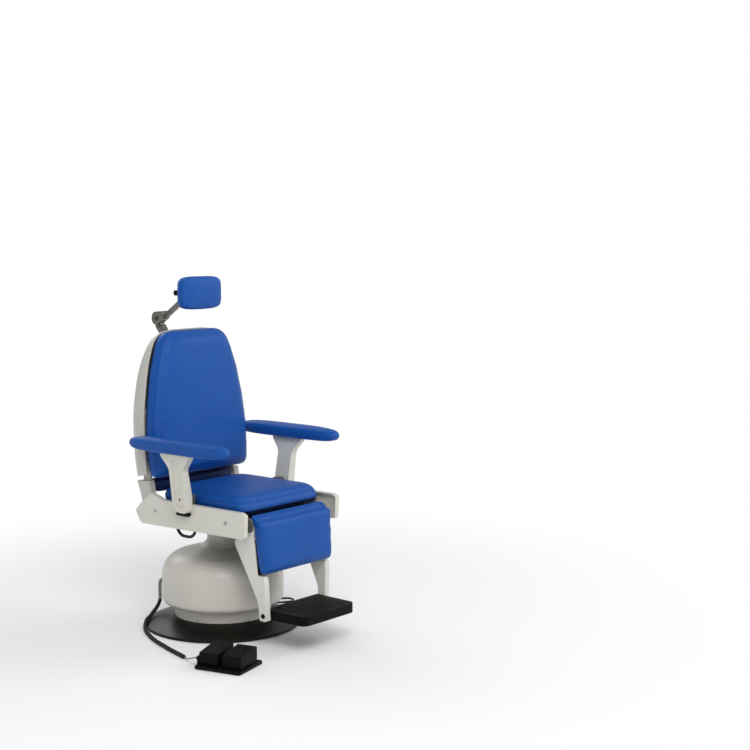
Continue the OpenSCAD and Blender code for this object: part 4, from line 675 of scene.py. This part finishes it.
# Back cushion: a tall padded panel on a plywood board, boxed all round, with a welt at its front edge.
BACK_LEAN = math.radians(4)
back_foot = Vector((0, 0.165, 0.486))
back_front = Vector((0, -math.cos(BACK_LEAN), math.sin(BACK_LEAN)))
back = stuffed("back_cover", "back_cushion", "back", vinyl_blue, -back_front, 0.009)
BACK_WELT_OUT = 0.064
seam(back, back_foot + back_front * BACK_WELT_OUT, back_front)
welt(back, "back_welt", back_foot + back_front * BACK_WELT_OUT, back_front, "back", count=460)

# Rear shell of the back: one vacuum-formed skin of beige plastic, 5 mm thick and open in front, with a slot
# for the headrest post. It is fixed to the edge of the back board.
SHELL_ROWS = ((0, 0.985, 0.94), (0.05, 0.992, 0.955), (0.18, 1, 0.985), (0.4, 0.978, 1), (0.56, 0.927, 0.955),
              (0.72, 0.855, 0.84), (0.84, 0.775, 0.66), (0.92, 0.695, 0.47), (0.965, 0.6, 0.31),
              (0.99, 0.48, 0.17), (1, 0.3, 0.06))
SHELL_HALF = 0.268
SHELL_DEPTH = 0.186
SHELL_FRONT = -0.020
SHELL_TOP = 0.709
SHELL_LOW_FRONT = 0.140
SHELL_LOW_REAR = 0.114
SHELL_WALL = 0.005
SHELL_POWER = 2.2
SHELL_ROW_STEPS = 12
SHELL_SIDES = 72
SHELL_STEPS = 60
SLOT_HALF = 0.026
SLOT_FRONT = -0.033
SLOT_REAR = 0.016
SLOT_DEEP = 0.211
POST_LEAN = math.radians(17.5)
POST_TOP = Vector((0, 0.364, 1.23))


def shell_row(far):
    """Height, half width and depth of the shell at a share of the way through its rows."""
    rows = smooth_route(SHELL_ROWS, SHELL_ROW_STEPS)
    at = far * (len(rows) - 1)
    low = min(int(at), len(rows) - 2)
    return rows[low].lerp(rows[low + 1], at - low)


bm = bmesh.new()
bmesh.ops.create_grid(bm, x_segments=SHELL_SIDES, y_segments=SHELL_STEPS, size=1)
crown = []
for v in bm.verts:
    turn, far = math.pi * (v.co.x + 1) / 2, (v.co.y + 1) / 2
    height, half, deep = shell_row(far)
    across = math.copysign(abs(math.cos(turn)) ** (2 / SHELL_POWER), math.cos(turn))
    y = SHELL_FRONT + SHELL_DEPTH * deep * abs(math.sin(turn)) ** (2 / SHELL_POWER)
    low = SHELL_LOW_FRONT + (SHELL_LOW_REAR - SHELL_LOW_FRONT) * (y - SHELL_FRONT) / SHELL_DEPTH
    if far > 0.9999:
        crown.append(v)
    v.co = (SHELL_HALF * half * across, y, low + (SHELL_TOP - low) * height)
bmesh.ops.contextual_create(bm, geom=crown)
bmesh.ops.transform(bm, verts=bm.verts,
                    matrix=Matrix.Translation(back_foot) @ Matrix.Rotation(-BACK_LEAN, 4, "X"))
bmesh.ops.recalc_face_normals(bm, faces=bm.faces)
rearmost = max(bm.faces, key=lambda f: f.calc_center_median().y)
if rearmost.normal.y < 0:
    bmesh.ops.reverse_faces(bm, faces=bm.faces)
mesh = bpy.data.meshes.new("rear_shell")
bm.to_mesh(mesh)
bm.free()
shell = piece("rear_shell", mesh, shell_grey, "back")
wall = shell.modifiers.new("wall", "SOLIDIFY")
wall.thickness = SHELL_WALL
wall.offset = -1
rim = shell.modifiers.new("rim", "BEVEL")
rim.width = 0.0012
rim.segments = 2
rim.angle_limit = math.radians(55)
bm = bmesh.new()
bmesh.ops.create_cube(bm, size=1)
bmesh.ops.scale(bm, verts=bm.verts, vec=(2 * SLOT_HALF, SLOT_REAR - SLOT_FRONT, SLOT_DEEP))
bmesh.ops.translate(bm, verts=bm.verts, vec=(0, (SLOT_REAR + SLOT_FRONT) / 2, -SLOT_DEEP / 2))
bmesh.ops.transform(bm, verts=bm.verts,
                    matrix=Matrix.Translation(POST_TOP) @ Matrix.Rotation(-POST_LEAN, 4, "X"))
mesh = bpy.data.meshes.new("slot")
bm.to_mesh(mesh)
bm.free()
slot_block = bpy.data.objects.new("slot", mesh)
bpy.context.scene.collection.objects.link(slot_block)
slot = shell.modifiers.new("slot", "BOOLEAN")
slot.operation = "DIFFERENCE"
slot.solver = "EXACT"
slot.object = slot_block
baked(shell)
bpy.data.objects.remove(slot_block)
shell.data.set_sharp_from_angle(angle=math.radians(40))
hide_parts("back_shell")

# Lower pad of the back: a short pad that fills the gap above the seat, in blue vinyl darkened as painted shade for
# the shadow under the back cushion.
stuffed("lower_cover", "lower_back_pad", "back", vinyl_dark, -back_front, 0.004)

# Headrest pad: a small boxed pad screwed to the tilting plate.
head = stuffed("headrest_cover", "headrest_pad", "head_pad", vinyl_blue, (0, 1, 0), 0.005)
head_low, head_high = (Vector(p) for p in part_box("headrest_pad"))
HEAD_WELT_SHARE = 0.62
head_at = Vector((0, head_high.y + (head_low.y - head_high.y) * HEAD_WELT_SHARE, 0))
seam(head, head_at, (0, 1, 0), depth=0.0018, width=0.005)
welt(head, "headrest_welt", head_at, (0, 1, 0), "head_pad", thick=0.003, count=200)

# Leg cushion: a flat pad that hangs in front of the legs, with one sewn channel near its top.
leg = stuffed("leg_cover", "leg_cushion", "leg_rest", vinyl_blue, (0, 1, 0), 0.006)
LEG_CHANNEL_Z = 0.462
LEG_FRONT_Y = -0.385
seam(leg, (0, 0, LEG_CHANNEL_Z), (0, 0.1, 1), depth=0.0045, width=0.007, pucker=0.0012,
     inside=lambda p: p.y < LEG_FRONT_Y)

# Arm pads: long loaves of foam under vinyl, screwed to the post flanges, closed by a welt near the bottom.
ARM_WELT_Z = 0.7525
ARM_VOXEL = 0.0045
for side in ("left", "right"):
    pad = stuffed("arm_cover_" + side, "arm_pad_" + side, side + "_arm", vinyl_blue, (0, 0, -1), 0.004,
                  shrink=0.0, voxel=ARM_VOXEL)
    seam(pad, (0, 0, ARM_WELT_Z), (0, 0, 1), depth=0.0016, width=0.004)
    welt(pad, "arm_welt_" + side, (0, 0, ARM_WELT_Z), (0, 0, 1), side + "_arm", thick=0.0028, count=300)
